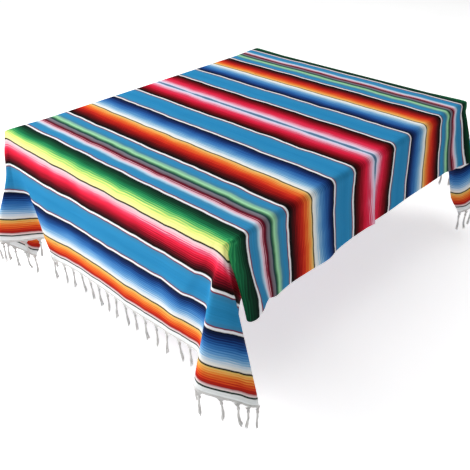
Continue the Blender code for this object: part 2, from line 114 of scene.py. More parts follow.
class Shade(NamedTuple):
    """Colour of the weft at a distance in millimetres from the middle of the pattern."""

    place: float
    red: int
    green: int
    blue: int
    ombre: float = 0.0


def table(kind: type, *rows: tuple[float, ...]) -> list:
    """Rows of one kind, whose named fields are the table's columns."""
    return [kind(*row) for row in rows]


PANEL_FOLDS: dict[str, list[PanelFold]] = {
    "near": table(
        PanelFold,
        (-0.492, 0.060, 0.060), (-0.325, 0.095, 0.045), (-0.197, 0.050, 0.020), (0.000, 0.040, 0.000),
        (0.148, 0.050, 0.000), (0.276, 0.040, 0.000), (0.354, 0.070, 0.000), (0.492, 0.050, 0.000),
    ),
    "far": table(
        PanelFold,
        (-0.492, 0.050, 0.000), (-0.197, 0.040, 0.000), (0.098, 0.090, 0.010), (0.276, 0.380, 0.080),
        (0.370, 0.520, 0.110), (0.492, 0.530, 0.110),
    ),
    "right": table(
        PanelFold,
        (-0.650, 0.085, 0.120), (-0.512, 0.070, 0.110), (-0.413, 0.050, 0.085), (-0.315, 0.070, 0.070),
        (-0.236, 0.095, 0.085), (-0.187, 0.055, 0.075), (-0.118, 0.040, 0.088), (-0.055, 0.050, 0.110),
        (-0.022, 0.066, 0.135), (-0.004, 0.090, 0.155), (0.006, 0.096, 0.160), (0.013, 0.082, 0.115),
        (0.021, 0.052, 0.035), (0.029, 0.036, -0.030), (0.040, 0.030, -0.040), (0.069, 0.034, -0.022),
        (0.138, 0.050, 0.015), (0.266, 0.060, 0.030), (0.374, 0.090, 0.060), (0.492, 0.110, 0.090),
        (0.650, 0.120, 0.100),
    ),
    "left": table(
        PanelFold,
        (-0.650, 0.070, 0.0), (-0.295, 0.030, 0.0), (-0.098, 0.090, 0.0), (0.098, 0.030, 0.0),
        (0.295, 0.080, 0.0), (0.492, 0.050, 0.0), (0.650, 0.060, 0.0),
    ),
}

CORNER_FOLDS: dict[tuple[Side, End], list[CornerFold]] = {
    (Side.RIGHT, End.NEAR): table(
        CornerFold,
        (-30.0, -0.577, 0.045), (-22.0, -0.395, 0.040), (-15.0, -0.265, 0.035), (-10.0, -0.180, 0.040),
        (-6.0, -0.125, 0.070), (-1.0, -0.060, 0.165), (4.0, 0.010, 0.265), (8.0, 0.055, 0.320),
        (11.0, 0.100, 0.330), (14.0, 0.160, 0.295), (18.0, 0.230, 0.235), (24.0, 0.295, 0.155),
        (30.0, 0.315, 0.085), (34.0, 0.300, 0.020), (38.0, 0.245, -0.030), (43.0, 0.165, -0.065),
        (50.0, 0.045, -0.130), (60.0, -0.105, -0.270), (68.0, -0.190, -0.395), (72.0, -0.205, -0.450),
        (76.0, -0.170, -0.450), (84.0, -0.030, -0.320), (90.0, 0.048, -0.204), (94.0, 0.097, -0.154),
        (98.0, 0.143, -0.173), (101.0, 0.165, -0.245), (104.0, 0.140, -0.375), (107.0, 0.105, -0.455),
        (112.0, 0.080, -0.550), (120.0, 0.085, -0.690),
    ),
    (Side.LEFT, End.NEAR): table(
        CornerFold,
        (-30.0, -0.625, 0.090), (-27.0, -0.570, 0.110), (-24.5, -0.520, 0.095), (-22.0, -0.450, 0.030),
        (-19.5, -0.360, -0.030), (-16.0, -0.270, -0.055), (-11.0, -0.190, -0.045), (-6.0, -0.150, 0.020),
        (-1.0, -0.110, 0.115), (4.0, -0.050, 0.215), (9.0, 0.020, 0.300), (13.0, 0.060, 0.290),
        (17.0, 0.055, 0.240), (21.0, 0.010, 0.190), (27.0, -0.070, 0.110), (34.0, -0.115, 0.030),
        (37.5, -0.120, -0.040), (42.0, -0.050, -0.070), (50.0, 0.080, 0.000), (58.0, 0.200, 0.080),
        (62.0, 0.250, 0.080), (66.0, 0.240, 0.000), (75.0, 0.100, -0.130), (84.0, 0.000, -0.250),
        (90.0, -0.020, -0.330), (95.0, 0.030, -0.370), (101.0, 0.120, -0.310), (105.0, 0.170, -0.340),
        (110.0, 0.130, -0.440), (120.0, 0.070, -0.577),
    ),
    (Side.RIGHT, End.FAR): table(
        CornerFold,
        (-30.0, -0.467, 0.530), (-20.0, -0.250, 0.540), (-10.0, -0.080, 0.520), (-2.0, 0.045, 0.470),
        (5.0, 0.160, 0.375), (11.0, 0.250, 0.270), (15.0, 0.285, 0.180), (20.0, 0.250, 0.130),
        (26.0, 0.190, 0.115), (30.0, 0.135, 0.120), (33.0, 0.085, 0.135), (36.0, 0.010, 0.160),
        (39.0, -0.040, 0.215), (45.0, -0.130, 0.310), (50.0, -0.190, 0.325), (57.0, -0.260, 0.240),
        (65.0, -0.250, 0.090), (72.0, -0.115, 0.010), (78.0, 0.070, 0.010), (82.0, 0.215, 0.030),
        (86.0, 0.300, 0.035), (90.0, 0.310, 0.010), (94.0, 0.280, -0.030), (98.0, 0.220, -0.085),
        (107.0, 0.170, -0.220), (120.0, 0.120, -0.500),
    ),
    (Side.LEFT, End.FAR): table(
        CornerFold,
        (-30.0, -0.577, 0.050), (-18.0, -0.325, 0.060), (-9.0, -0.150, 0.090), (-3.0, -0.060, 0.160),
        (4.0, 0.020, 0.270), (10.0, 0.070, 0.350), (14.0, 0.110, 0.360), (19.0, 0.170, 0.310),
        (26.0, 0.240, 0.210), (32.0, 0.260, 0.100), (37.0, 0.240, 0.020), (43.0, 0.170, -0.050),
        (52.0, 0.030, -0.170), (60.0, -0.100, -0.300), (66.0, -0.170, -0.380), (70.0, -0.170, -0.440),
        (77.0, -0.070, -0.420), (85.0, 0.050, -0.320), (92.0, 0.140, -0.240), (97.0, 0.180, -0.250),
        (102.0, 0.170, -0.340), (110.0, 0.100, -0.450), (120.0, 0.060, -0.577),
    ),
}

CORNER_ONSETS: dict[tuple[Side, End], Onset] = {
    (Side.RIGHT, End.NEAR): Onset(0.012, 0.160, 0.060, 0.22, 0.018),
    (Side.LEFT, End.NEAR): Onset(0.080, 0.340, 0.300, 0.15, 0.000),
    (Side.RIGHT, End.FAR): Onset(0.012, 0.110, 0.090, 0.15, 0.000),
    (Side.LEFT, End.FAR): Onset(0.012, 0.110, 0.110, 0.15, 0.000),
}

# Soft creases of the panels, in the flat cloth's own metres
CREASES: list[Crease] = table(
    Crease,
    (-0.30, -0.90, 0.34, 84.0, 0.020, 0.0016), (-0.10, -0.86, 0.26, 97.0, 0.028, -0.0018),
    (0.11, -0.91, 0.30, 88.0, 0.022, 0.0015), (0.27, -0.84, 0.24, 80.0, 0.018, -0.0014),
    (0.62, -0.33, 0.22, 8.0, 0.024, 0.0020), (0.60, -0.12, 0.18, -6.0, 0.020, -0.0014),
    (0.63, 0.17, 0.20, 4.0, 0.026, 0.0018), (0.61, 0.36, 0.17, -9.0, 0.020, -0.0015),
    (-0.62, -0.22, 0.20, 7.0, 0.026, 0.0019), (-0.60, 0.05, 0.19, -5.0, 0.022, -0.0015),
    (-0.63, 0.31, 0.21, 3.0, 0.024, 0.0018), (-0.28, 0.92, 0.32, 95.0, 0.026, 0.0018),
    (-0.02, 0.88, 0.27, 84.0, 0.022, -0.0016), (0.21, 0.93, 0.30, 92.0, 0.024, 0.0017),
)


@dataclass(frozen=True)
class DrapeSizes:
    """Sizes of the blanket and of the rectangle that it lies over, in metres and degrees."""

    top_half_x: float = 0.492
    top_half_y: float = 0.647
    side_drop: float = 0.262
    near_drop: float = 0.387
    far_drop: float = 0.419
    wider_far: float = 0.034
    shorter_near: float = 0.050
    shorter_far: float = 0.045
    bend: float = 0.020
    corner_bend: float = 0.007
    bend_ramp: float = 0.150
    wall: float = 0.0016
    fan: float = 30.0
    softness: float = 0.0030
    softest_angle: float = 10.0
    tightest_fold: float = 0.0016
    # How a panel's lean grows down the cloth
    quick_lean: float = 0.7
    quick_reach: float = 0.10
    slow_lean: float = 0.3
    slow_reach: float = 0.25
    # How a corner's cloth passes into the panels beside it
    fan_blend: float = 10.0
    end_fade: float = 45.0
    leg_change: float = 35.0
    # The shoulder that a folded corner pushes out
    shoulder_angle: float = 92.0
    shoulder_spread: float = 16.0
    shoulder_reach: float = 0.12
    shoulder_start: float = 0.018
    shoulder_ramp: float = 0.035
    # Where the right side hangs shorter, and shortest
    shorter_from_y: float = -0.60
    shorter_ramp_y: float = 0.20
    shorter_from_angle: float = 50.0
    shorter_ramp_angle: float = 30.0
    shortest_from_y: float = -0.3
    shortest_ramp_y: float = 0.9

    @property
    def core_x(self) -> float:
        """Half width of the straight part inside the bend."""
        return self.top_half_x - self.bend

    @property
    def core_y(self) -> float:
        """Half length of the straight part inside the bend."""
        return self.top_half_y - self.bend

    @property
    def side_reach(self) -> float:
        """Cloth from the core to a selvedge."""
        return self.side_drop + self.bend * (math.pi / 2 - 1)

    def end_reach(self, end: End) -> float:
        """Cloth from the core to an end's hem."""
        drop = self.near_drop if end is End.NEAR else self.far_drop
        return drop + self.bend * (math.pi / 2 - 1)


def ease(value: np.ndarray) -> np.ndarray:
    """Smooth step from 0 to 1."""
    value = np.clip(value, 0.0, 1.0)
    return value * value * (3.0 - 2.0 * value)


def unit(vectors: np.ndarray) -> np.ndarray:
    """Vectors scaled to length one."""
    return vectors / np.maximum(np.linalg.norm(vectors, axis=-1, keepdims=True), 1e-12)


def read_table(rows: list, places: np.ndarray) -> tuple[np.ndarray, np.ndarray]:
    """Smooth reading of a table's two value columns.

    Args:
        rows: The table, sorted by its first column.
        places: Where to read it.

    Returns:
        The second and third column at each place.
    """
    cells = np.array(rows, dtype=float)
    key, values = cells[:, 0], cells[:, 1:]
    steps = np.diff(key)
    chords = np.diff(values, axis=0) / steps[:, None]
    slopes = np.empty_like(values)
    slopes[0] = chords[0]
    slopes[-1] = chords[-1]
    before = steps[:-1, None]
    after = steps[1:, None]
    slopes[1:-1] = (chords[:-1] * after + chords[1:] * before) / (before + after)
    places = np.clip(places, key[0], key[-1])
    index = np.clip(np.searchsorted(key, places, side="left") - 1, 0, len(key) - 2)
    step = steps[index]
    k = (places - key[index]) / step
    out = []
    for column in (0, 1):
        out.append(
            (2 * k**3 - 3 * k**2 + 1) * values[index, column]
            + (k**3 - 2 * k**2 + k) * slopes[index, column] * step
            + (3 * k**2 - 2 * k**3) * values[index + 1, column]
            + (k**3 - k**2) * slopes[index + 1, column] * step
        )
    return out[0], out[1]


def as_object(mesh: bmesh.types.BMesh, name: str) -> bpy.types.Object:
    """Turn a finished bmesh into an object that is in no collection yet."""
    data = bpy.data.meshes.new(name)
    mesh.to_mesh(data)
    mesh.free()
    return bpy.data.objects.new(name, data)


def add_quads(mesh: bmesh.types.BMesh, upper: list, lower: list, closed: bool, outside: bool = True) -> None:
    """Faces between two rows of vertices.

    Args:
        mesh: The mesh under construction.
        upper: The first row.
        lower: The second row, as long as the first.
        closed: True to join the rows' last vertices to their first.
        outside: False to turn the faces over.
    """
    count = len(upper)
    for place in range(count if closed else count - 1):
        after = (place + 1) % count
        corners = [upper[place], lower[place], lower[after], upper[after]]
        mesh.faces.new(corners if outside else corners[::-1])


@dataclass
class Drape:
    """The hanging form: where each point of the flat blanket lies once it is draped."""

    sizes: DrapeSizes = field(default_factory=DrapeSizes)

    def bend_over(
        self,
        level: np.ndarray,
        hanging: np.ndarray,
        distance: np.ndarray,
        bend: np.ndarray,
        run: np.ndarray,
    ) -> np.ndarray:
        """Paths that run level and then turn into their hanging direction over the bend.

        Args:
            level: Directions over the edge, one row each.
            hanging: Directions of the straight cloth below the bend.
            distance: Cloth from the core to the point.
            bend: Radius of each path's bend.
            run: Level cloth before each path's bend.

        Returns:
            The points, from the foot of each path.
        """
        flat = np.minimum(distance, run)[:, None] * level
        distance = np.maximum(distance - run, 0.0)
        turn = np.arccos(np.clip(np.sum(level * hanging, axis=1), -1.0, 1.0))
        length = bend * turn
        angle = np.minimum(distance, length) / bend
        scale = (bend / np.sin(turn))[:, None]
        path = (np.cos(turn - angle) - np.cos(turn))[:, None] * level
        path = path + (1.0 - np.cos(angle))[:, None] * hanging
        return flat + scale * path + hanging * np.maximum(distance - length, 0.0)[:, None]

    def edge_bend(self, from_corner: np.ndarray) -> np.ndarray:
        """Radius of an edge's bend, tighter close to the corners."""
        sizes = self.sizes
        return sizes.corner_bend + (sizes.bend - sizes.corner_bend) * ease(from_corner / sizes.bend_ramp)

    def panel(self, name: str, place: np.ndarray, distance: np.ndarray) -> np.ndarray:
        """Points of a hanging panel.

        Args:
            name: The panel's key in the fold table.
            place: Places along its edge.
            distance: Cloth over the edge.

        Returns:
            One point a row.
        """
        outwards, sideways = read_table(PANEL_FOLDS[name], place)
        sizes = self.sizes
        growth = sizes.quick_lean * ease(distance / sizes.quick_reach)
        growth = growth + sizes.slow_lean * np.minimum(distance / sizes.slow_reach, 1.0)
        count = len(place)
        foot = np.zeros((count, 3))
        is_end = name in ("near", "far")
        sign = -1.0 if name in ("near", "left") else 1.0
        out_axis, run_axis = (1, 0) if is_end else (0, 1)
        core, half = (sizes.core_y, sizes.core_x) if is_end else (sizes.core_x, sizes.core_y)
        foot[:, run_axis] = place
        foot[:, out_axis] = sign * core
        level = np.tile(sign * np.eye(3)[out_axis], (count, 1))
        along = np.tile(np.eye(3)[run_axis], (count, 1))
        bend = self.edge_bend(half - np.abs(place))
        lean = outwards[:, None] * level + sideways[:, None] * along
        hanging = unit(growth[:, None] * lean - np.array([0.0, 0.0, 1.0]))
        return foot + self.bend_over(level, hanging, distance, bend, sizes.bend - bend)

    def unfolded(self, corner: tuple[Side, End], angle: np.ndarray) -> np.ndarray:
        """Direction of a corner's cloth before its folds set in, at each angle."""
        end_lean = CORNER_FOLDS[corner][0].along
        side_lean = CORNER_FOLDS[corner][-1].across
        radians = np.radians(angle)
        share = ease(angle / 90.0)
        bulge = CORNER_ONSETS[corner].bulge * np.sin(2.0 * radians)
        across = side_lean * share + bulge
        along = end_lean * (1.0 - ease(angle / self.sizes.end_fade)) + bulge
        between = np.stack([across, along, -np.ones_like(angle)], 1)
        before = np.stack([np.sin(radians), end_lean * np.cos(radians), -np.cos(radians)], 1)
        after = np.stack([side_lean * np.sin(radians), np.cos(radians), -np.sin(radians)], 1)
        out = np.where((angle <= 0.0)[:, None], before, between)
        return unit(np.where((angle >= 90.0)[:, None], after, out))

    def corner(self, corner: tuple[Side, End], angle: np.ndarray, distance: np.ndarray) -> np.ndarray:
        """Points of a corner's fan.

        Args:
            corner: Which corner.
            angle: Angles in the flat cloth, from square to the end.
            distance: Distances from the core's corner.

        Returns:
            One point a row.
        """
        sizes = self.sizes
        width = np.degrees(sizes.softness / np.maximum(distance, 1e-6))
        width = np.minimum(width, sizes.softest_angle)
        across = np.zeros_like(angle)
        along = np.zeros_like(angle)
        total = 0.0
        for step in np.linspace(-2.0, 2.0, 9):
            weight = math.exp(-0.5 * step * step)
            slopes = read_table(CORNER_FOLDS[corner], angle + step * width)
            across += weight * slopes[0]
            along += weight * slopes[1]
            total += weight
        onset = CORNER_ONSETS[corner]
        side_share = ease((angle - sizes.leg_change) / sizes.leg_change)
        full = onset.end_full + (onset.side_full - onset.end_full) * side_share
        share = ease((distance - onset.start) / (full - onset.start))[:, None]
        folded = unit(np.stack([across / total, along / total, -np.ones_like(angle)], 1))
        hanging = unit(folded * share + self.unfolded(corner, angle) * (1.0 - share))
        radians = np.radians(angle)
        level = np.stack([np.sin(radians), np.cos(radians), np.zeros_like(angle)], 1)
        bend = np.full_like(angle, sizes.corner_bend)
        run = (sizes.bend - sizes.corner_bend) / np.linalg.norm(level[:, :2], ord=6, axis=1)
        path = self.bend_over(level, hanging, distance, bend, run)
        turned = (angle - sizes.shoulder_angle) / sizes.shoulder_spread
        shoulder = onset.shoulder * np.exp(-(turned**2) - (distance / sizes.shoulder_reach) ** 2)
        path[:, 1] += shoulder * ease((distance - sizes.shoulder_start) / sizes.shoulder_ramp)
        side, end = corner
        foot = np.array([side.value * sizes.core_x, end.value * sizes.core_y, 0.0])
        return foot + path * np.array([side.value, end.value, 1.0])

    def points(self, x: np.ndarray, y: np.ndarray) -> np.ndarray:
        """Middle of the draped cloth at points of the flat blanket.

        Args:
            x: Places along the stripes.
            y: Places across the stripes.

        Returns:
            One point a row, with the top at height 0.
        """
        sizes = self.sizes
        over_x = np.abs(x) - sizes.core_x
        over_y = np.abs(y) - sizes.core_y
        angle = np.degrees(np.arctan2(over_x, over_y))
        inward = ease((y - sizes.shorter_from_y) / sizes.shorter_ramp_y)
        inward = inward * ease((angle - sizes.shorter_from_angle) / sizes.shorter_ramp_angle)
        further = ease((y - sizes.shortest_from_y) / sizes.shortest_ramp_y)
        shorter = (sizes.shorter_near + sizes.shorter_far * further) * inward * (x > sizes.core_x)
        over_x = over_x * (1.0 - shorter)
        out = np.stack([x, y, np.zeros_like(x)], 1)
        hangs = (over_x > 0.0) | (over_y > 0.0)
        beyond_end = hangs & (over_y > 0.0) & (over_x <= 0.0)
        beyond_side = hangs & (over_x > 0.0) & (over_y <= 0.0)
        for end, name in ((End.NEAR, "near"), (End.FAR, "far")):
            mask = beyond_end & (np.sign(y) == end.value)
            out[mask] = self.panel(name, x[mask], over_y[mask])
        for side, name in ((Side.RIGHT, "right"), (Side.LEFT, "left")):
            mask = beyond_side & (np.sign(x) == side.value)
            out[mask] = self.panel(name, y[mask], over_x[mask])
        angle = np.degrees(np.arctan2(over_x, over_y))
        near_corner = hangs & (angle > -sizes.fan) & (angle < 90.0 + sizes.fan)
        for side in Side:
            for end in End:
                mask = near_corner & (np.where(x > 0, 1.0, -1.0) == side.value)
                mask &= np.where(y > 0, 1.0, -1.0) == end.value
                turned = angle[mask]
                from_end = ease((turned + sizes.fan) / sizes.fan_blend)
                from_side = ease((90.0 + sizes.fan - turned) / sizes.fan_blend)
                share = np.minimum(from_end, from_side)
                inside = (over_x[mask] > 0.0) & (over_y[mask] > 0.0)
                share = np.where(inside, 1.0, share)[:, None]
                fan = self.corner((side, end), turned, np.hypot(over_x[mask], over_y[mask]))
                out[mask] = out[mask] * (1.0 - share) + fan * share
        out[:, 0] *= self.widening(out[:, 1])
        return out

    def widening(self, y: np.ndarray | float) -> np.ndarray | float:
        """How much wider than at the near end the cloth is at places along its length."""
        return 1.0 + self.sizes.wider_far * (y + self.sizes.core_y) / (2.0 * self.sizes.core_y)


@dataclass
class RulingGrid:
    """Grid of the cloth outside the core: a row for each ruling, a column for each ring."""

    drape: Drape
    fan_step: float
    panel_step: float
    rings: int
    fine_half: float = 0.060

    def lines(self) -> np.ndarray:
        """Rulings of the flat cloth once around: core x, core y, border x, border y."""
        out: list[tuple[float, float, float, float]] = []
        right = [(Side.RIGHT, End.NEAR), (Side.RIGHT, End.FAR)]
        left = [(Side.LEFT, End.FAR), (Side.LEFT, End.NEAR)]
        for number, corner in enumerate(right + left):
            fan = self.fan_lines(corner)
            out += fan if number in (0, 2) else fan[::-1]
            out += self.panel_lines(number)
        return np.array(out)

    def fan_lines(self, corner: tuple[Side, End]) -> list[tuple[float, float, float, float]]:
        """Rulings of one corner's fan, from the end's panel to the side's."""
        sizes = self.drape.sizes
        side, end = corner
        tip = math.degrees(math.atan2(sizes.side_reach, sizes.end_reach(end)))
        first = max(2, round((tip + sizes.fan) / self.fan_step))
        second = max(2, round((90.0 + sizes.fan - tip) / self.fan_step))
        angles = list(np.linspace(-sizes.fan, tip, first + 1))
        angles += list(np.linspace(tip, 90.0 + sizes.fan, second + 1))[1:]
        lines = []
        for angle in angles:
            across = math.sin(math.radians(angle))
            along = math.cos(math.radians(angle))
            to_side = sizes.side_reach / across if across > 1e-9 else math.inf
            to_end = sizes.end_reach(end) / along if along > 1e-9 else math.inf
            reach = min(to_side, to_end)
            foot = (side.value * sizes.core_x, end.value * sizes.core_y)
            border_x = side.value * (sizes.core_x + reach * across)
            lines.append((*foot, border_x, end.value * (sizes.core_y + reach * along)))
        return lines

    def places(self, half: float, pleated: bool) -> np.ndarray:
        """Places along a panel's border, finer where the right panel's pleat lies."""
        even = np.linspace(-half, half, 2 + round(2.0 * half / self.panel_step))[1:-1]
        if not pleated:
            return even
        fine = np.arange(-self.fine_half, self.fine_half, self.panel_step / 4.0)
        return np.sort(np.concatenate([even[np.abs(even) > self.fine_half], fine]))

    def panel_lines(self, number: int) -> list[tuple[float, float, float, float]]:
        """Rulings of the panel that follows a corner, going anticlockwise from above."""
        sizes = self.drape.sizes
        spread = math.tan(math.radians(sizes.fan))
        sign = (1.0, 1.0, -1.0, -1.0)[number]
        if number in (0, 2):
            half = sizes.core_y - sizes.side_reach * spread
            places = self.places(half, number == 0)
            scale = sizes.core_y / half
            outer = sign * (sizes.core_x + sizes.side_reach)
            lines = [(sign * sizes.core_x, p * scale, outer, p) for p in places]
            return lines if number == 0 else lines[::-1]
        reach = sizes.end_reach(End.FAR if number == 1 else End.NEAR)
        half = sizes.core_x - reach * spread
        places = self.places(half, False)
        scale = sizes.core_x / half
        outer = sign * (sizes.core_y + reach)
        lines = [(p * scale, sign * sizes.core_y, p, outer) for p in places]
        return lines[::-1] if number == 1 else lines

    def flat(self) -> np.ndarray:
        """Flat places of the grid: rulings by rings by x and y."""
        lines = self.lines()
        span = lines[:, 2:] - lines[:, :2]
        reach = np.hypot(span[:, 0], span[:, 1])[:, None]
        bend = 0.001 * np.array([0.0, 6.0, 11.0, 14.0, 17.0, 20.0, 23.0, 26.0, 29.0, 33.0, 39.0, 47.0])
        rest = np.linspace(0.0, 1.0, self.rings - len(bend) + 1)[None, 1:] ** 1.1
        below = bend[-1] + (reach - bend[-1]) * rest
        distance = np.concatenate([np.tile(bend, (len(lines), 1)), below], 1)
        return lines[:, None, :2] + span[:, None, :] * (distance / reach)[:, :, None]


@dataclass
class WovenPanel:
    """The woven panel: a thin shell with its weave coordinates, creases and selvedges."""

    drape: Drape
    fan_step: float = 1.25
    panel_step: float = 0.012
    rings: int = 54
    top_cells_x: int = 26
    top_cells_y: int = 34
    loosening_rounds: int = 80
    least_turn: float = 0.12
    crease_wander: float = 0.012
    crease_waves: float = 17.0
    cells_share_x: float = 0.96
    cells_share_y: float = 0.97
    name: str = "woven_panel"

    def loosen(self, grid: np.ndarray) -> np.ndarray:
        """Round off folds that turn tighter than the wall allows, ring by ring."""
        for _ in range(self.loosening_rounds):
            before = np.roll(grid, 1, axis=0)
            after = np.roll(grid, -1, axis=0)
            first = grid - before
            second = after - grid
            length_first = np.linalg.norm(first, axis=2) + 1e-9
            length_second = np.linalg.norm(second, axis=2) + 1e-9
            cosine = np.sum(first * second, axis=2) / (length_first * length_second)
            turn = np.arccos(np.clip(cosine, -1.0, 1.0))
            shorter = np.minimum(length_first, length_second)
            radius = shorter / np.maximum(2.0 * np.tan(turn / 2), 1e-6)
            tight = (radius < self.drape.sizes.tightest_fold) & (turn > self.least_turn)
            tight[:, :1] = False
            if not tight.any():
                break
            near = tight.copy()
            for shift in (-2, -1, 1, 2):
                near |= np.roll(tight, shift, axis=0)
            grid = grid + near[:, :, None] * 0.5 * ((before + after) / 2 - grid)
        return grid

    def crease_heights(self, flat: np.ndarray) -> np.ndarray:
        """Height of the soft creases over the draped form, at flat places."""
        height = np.zeros(flat.shape[:-1])
        for crease in CREASES:
            heading = math.radians(crease.heading)
            from_x = flat[..., 0] - crease.x
            from_y = flat[..., 1] - crease.y
            along = from_x * math.cos(heading) + from_y * math.sin(heading)
            across = -from_x * math.sin(heading) + from_y * math.cos(heading)
            across = across + self.crease_wander * np.sin(along * self.crease_waves + crease.x * 40.0)
            fade = ease(1.2 - 2.0 * np.abs(along) / crease.length)
            height += crease.height * np.exp(-((across / crease.width) ** 2)) * fade
        return height

    def normals(self, grid: np.ndarray) -> np.ndarray:
        """Outward directions square to the grid."""
        across = np.roll(grid, -1, axis=0) - np.roll(grid, 1, axis=0)
        down = np.zeros_like(grid)
        down[:, 1:-1] = grid[:, 2:] - grid[:, :-2]
        down[:, -1] = grid[:, -1] - grid[:, -2]
        normals = unit(np.cross(down, across))
        normals[:, 0] = (0.0, 0.0, 1.0)
        return normals

    def build(self) -> bpy.types.Object:
        """Make the shell and its weave coordinates.

        Returns:
            The finished piece, with a UV map that holds the flat cloth's metres.
        """
        layout = RulingGrid(self.drape, self.fan_step, self.panel_step, self.rings)
        flat = layout.flat()
        grid = self.drape.points(flat[..., 0].ravel(), flat[..., 1].ravel())
        grid = grid.reshape(*flat.shape[:2], 3)
        grid = self.loosen(grid)
        normals = self.normals(grid)
        grid = grid + normals * self.crease_heights(flat)[:, :, None]
        grid[:, :, 2] += self.drape.sizes.wall / 2
        mesh = bmesh.new()
        weave = mesh.loops.layers.uv.new("weave")
        places: dict[bmesh.types.BMVert, tuple[float, float]] = {}
        skins = []
        for side in (1.0, -1.0):
            skin = grid + side * normals * self.drape.sizes.wall / 2
            skins.append(self.add_vertices(mesh, skin, flat, places))
        for (columns, rim), outside in zip(skins, (True, False)):
            self.add_skin(mesh, columns, outside)
            self.add_top(mesh, rim, places, outside)
        self.add_border(mesh, skins[0][0], skins[1][0])
        for face in mesh.faces:
            face.smooth = True
            for loop in face.loops:
                loop[weave].uv = places[loop.vert]
        item = as_object(mesh, self.name)
        bpy.context.scene.collection.objects.link(item)
        return item

    def add_vertices(
        self, mesh: bmesh.types.BMesh, skin: np.ndarray, flat: np.ndarray, places: dict
    ) -> tuple[list, list]:
        """Vertices of one skin, with one for all rulings that start at the same place.

        Args:
            mesh: The mesh under construction.
            skin: The skin's points, rulings by rings.
            flat: The flat place of each.
            places: Flat place of every vertex, which this adds to.

        Returns:
            The vertices of each ruling, and those of the core's rim once around.
        """
        rim: dict[tuple[float, float], bmesh.types.BMVert] = {}
        columns = []
        for points, spots in zip(skin, flat):
            column = []
            for ring, (point, spot) in enumerate(zip(points, spots)):
                place = (float(spot[0]), float(spot[1]))
                key = (round(place[0], 6), round(place[1], 6))
                vertex = rim.get(key) if ring == 0 else None
                if vertex is None:
                    vertex = mesh.verts.new(point)
                    places[vertex] = place
                if ring == 0:
                    rim[key] = vertex
                column.append(vertex)
            columns.append(column)
        return columns, list(rim.values())

    def add_skin(self, mesh: bmesh.types.BMesh, columns: list, outside: bool) -> None:
        """Faces of one skin between neighbouring rulings."""
        count = len(columns)
        for row in range(count):
            here = columns[row]
            there = columns[(row + 1) % count]
            for ring in range(len(here) - 1):
                corners = [here[ring], here[ring + 1], there[ring + 1], there[ring]]
                corners = list(dict.fromkeys(corners))
                mesh.faces.new(corners if outside else corners[::-1])

    def add_top(self, mesh: bmesh.types.BMesh, rim: list, places: dict, outside: bool) -> None:
        """Level middle of one skin: a grid of cells joined to the rim by a fan.

        Args:
            mesh: The mesh under construction.
            rim: The core's vertices, once around.
            places: Flat place of every vertex, which this adds to.
            outside: True for the upper skin.
        """
        sizes = self.drape.sizes
        height = rim[0].co.z
        grid = []
        for column in range(self.top_cells_x + 1):
            x = sizes.core_x * self.cells_share_x * (2.0 * column / self.top_cells_x - 1.0)
            line = []
            for row in range(self.top_cells_y + 1):
                y = sizes.core_y * self.cells_share_y * (2.0 * row / self.top_cells_y - 1.0)
                vertex = mesh.verts.new((x * self.drape.widening(y), y, height))
                places[vertex] = (x, y)
                line.append(vertex)
            grid.append(line)
        for here, there in zip(grid, grid[1:]):
            add_quads(mesh, here, there, closed=False, outside=outside)
        inner = [line[0] for line in grid] + grid[-1][1:]
        inner = inner + [line[-1] for line in grid[-2::-1]] + grid[0][-2:0:-1]
        self.stitch(mesh, rim, inner, outside)

    def stitch(self, mesh: bmesh.types.BMesh, rim: list, inner: list, outside: bool) -> None:
        """Triangles between two closed loops that run the same way round."""
        almost_one = 0.999999

        def turn(vertex: bmesh.types.BMVert) -> float:
            """Place of a vertex round the rectangle, from 0 at the right near corner."""
            sizes = self.drape.sizes
            x = vertex.co.x / sizes.core_x / self.drape.widening(vertex.co.y)
            y = vertex.co.y / sizes.core_y
            reach = max(abs(x), abs(y))
            x, y = x / reach, y / reach
            if x >= almost_one and y < almost_one:
                return (y + 1.0) / 2.0
            if y >= almost_one and x > -almost_one:
                return 1.0 + (1.0 - x) / 2.0
            if x <= -almost_one and y > -almost_one:
                return 2.0 + (1.0 - y) / 2.0
            return 3.0 + (x + 1.0) / 2.0

        first = sorted(rim, key=turn)
        second = sorted(inner, key=turn)
        turns_first = [turn(vertex) for vertex in first] + [turn(first[0]) + 4.0]
        turns_second = [turn(vertex) for vertex in second] + [turn(second[0]) + 4.0]
        first.append(first[0])
        second.append(second[0])
        i = j = 0
        while i < len(first) - 1 or j < len(second) - 1:
            step_outer = j >= len(second) - 1
            if i < len(first) - 1 and not step_outer:
                step_outer = turns_first[i + 1] <= turns_second[j + 1]
            if step_outer:
                corners = [second[j], first[i], first[i + 1]]
                i += 1
            else:
                corners = [second[j], first[i], second[j + 1]]
                j += 1
            mesh.faces.new(corners if outside else corners[::-1])

    def add_border(self, mesh: bmesh.types.BMesh, outer: list, inner: list) -> None:
        """Narrow faces that close the shell round the selvedges and hems."""
        add_quads(mesh, [line[-1] for line in outer], [line[-1] for line in inner], closed=True)


# Yarns of the plain lines, as display levels of red, green and blue
WHITE = (236, 236, 240)
MAROON = (120, 38, 58)
UMBER = (60, 50, 34)
SEPIA = (32, 28, 20)
SOOT = (35, 30, 24)
PINE = (40, 55, 48)


def band(yarn: tuple[int, int, int], start: float, finish: float) -> list[Shade]:
    """Plain line of one yarn."""
    return [Shade(start, *yarn), Shade(finish, *yarn)]


def smooth(*rows: tuple[float, int, int, int]) -> list[Shade]:
    """Shades that blend smoothly: place, red, green and blue."""
    return [Shade(*row) for row in rows]


def mixed(*rows: tuple[float, int, int, int]) -> list[Shade]:
    """Shades whose yarns are mixed line by line: place, red, green and blue."""
    return [Shade(*row, 1.0) for row in rows]


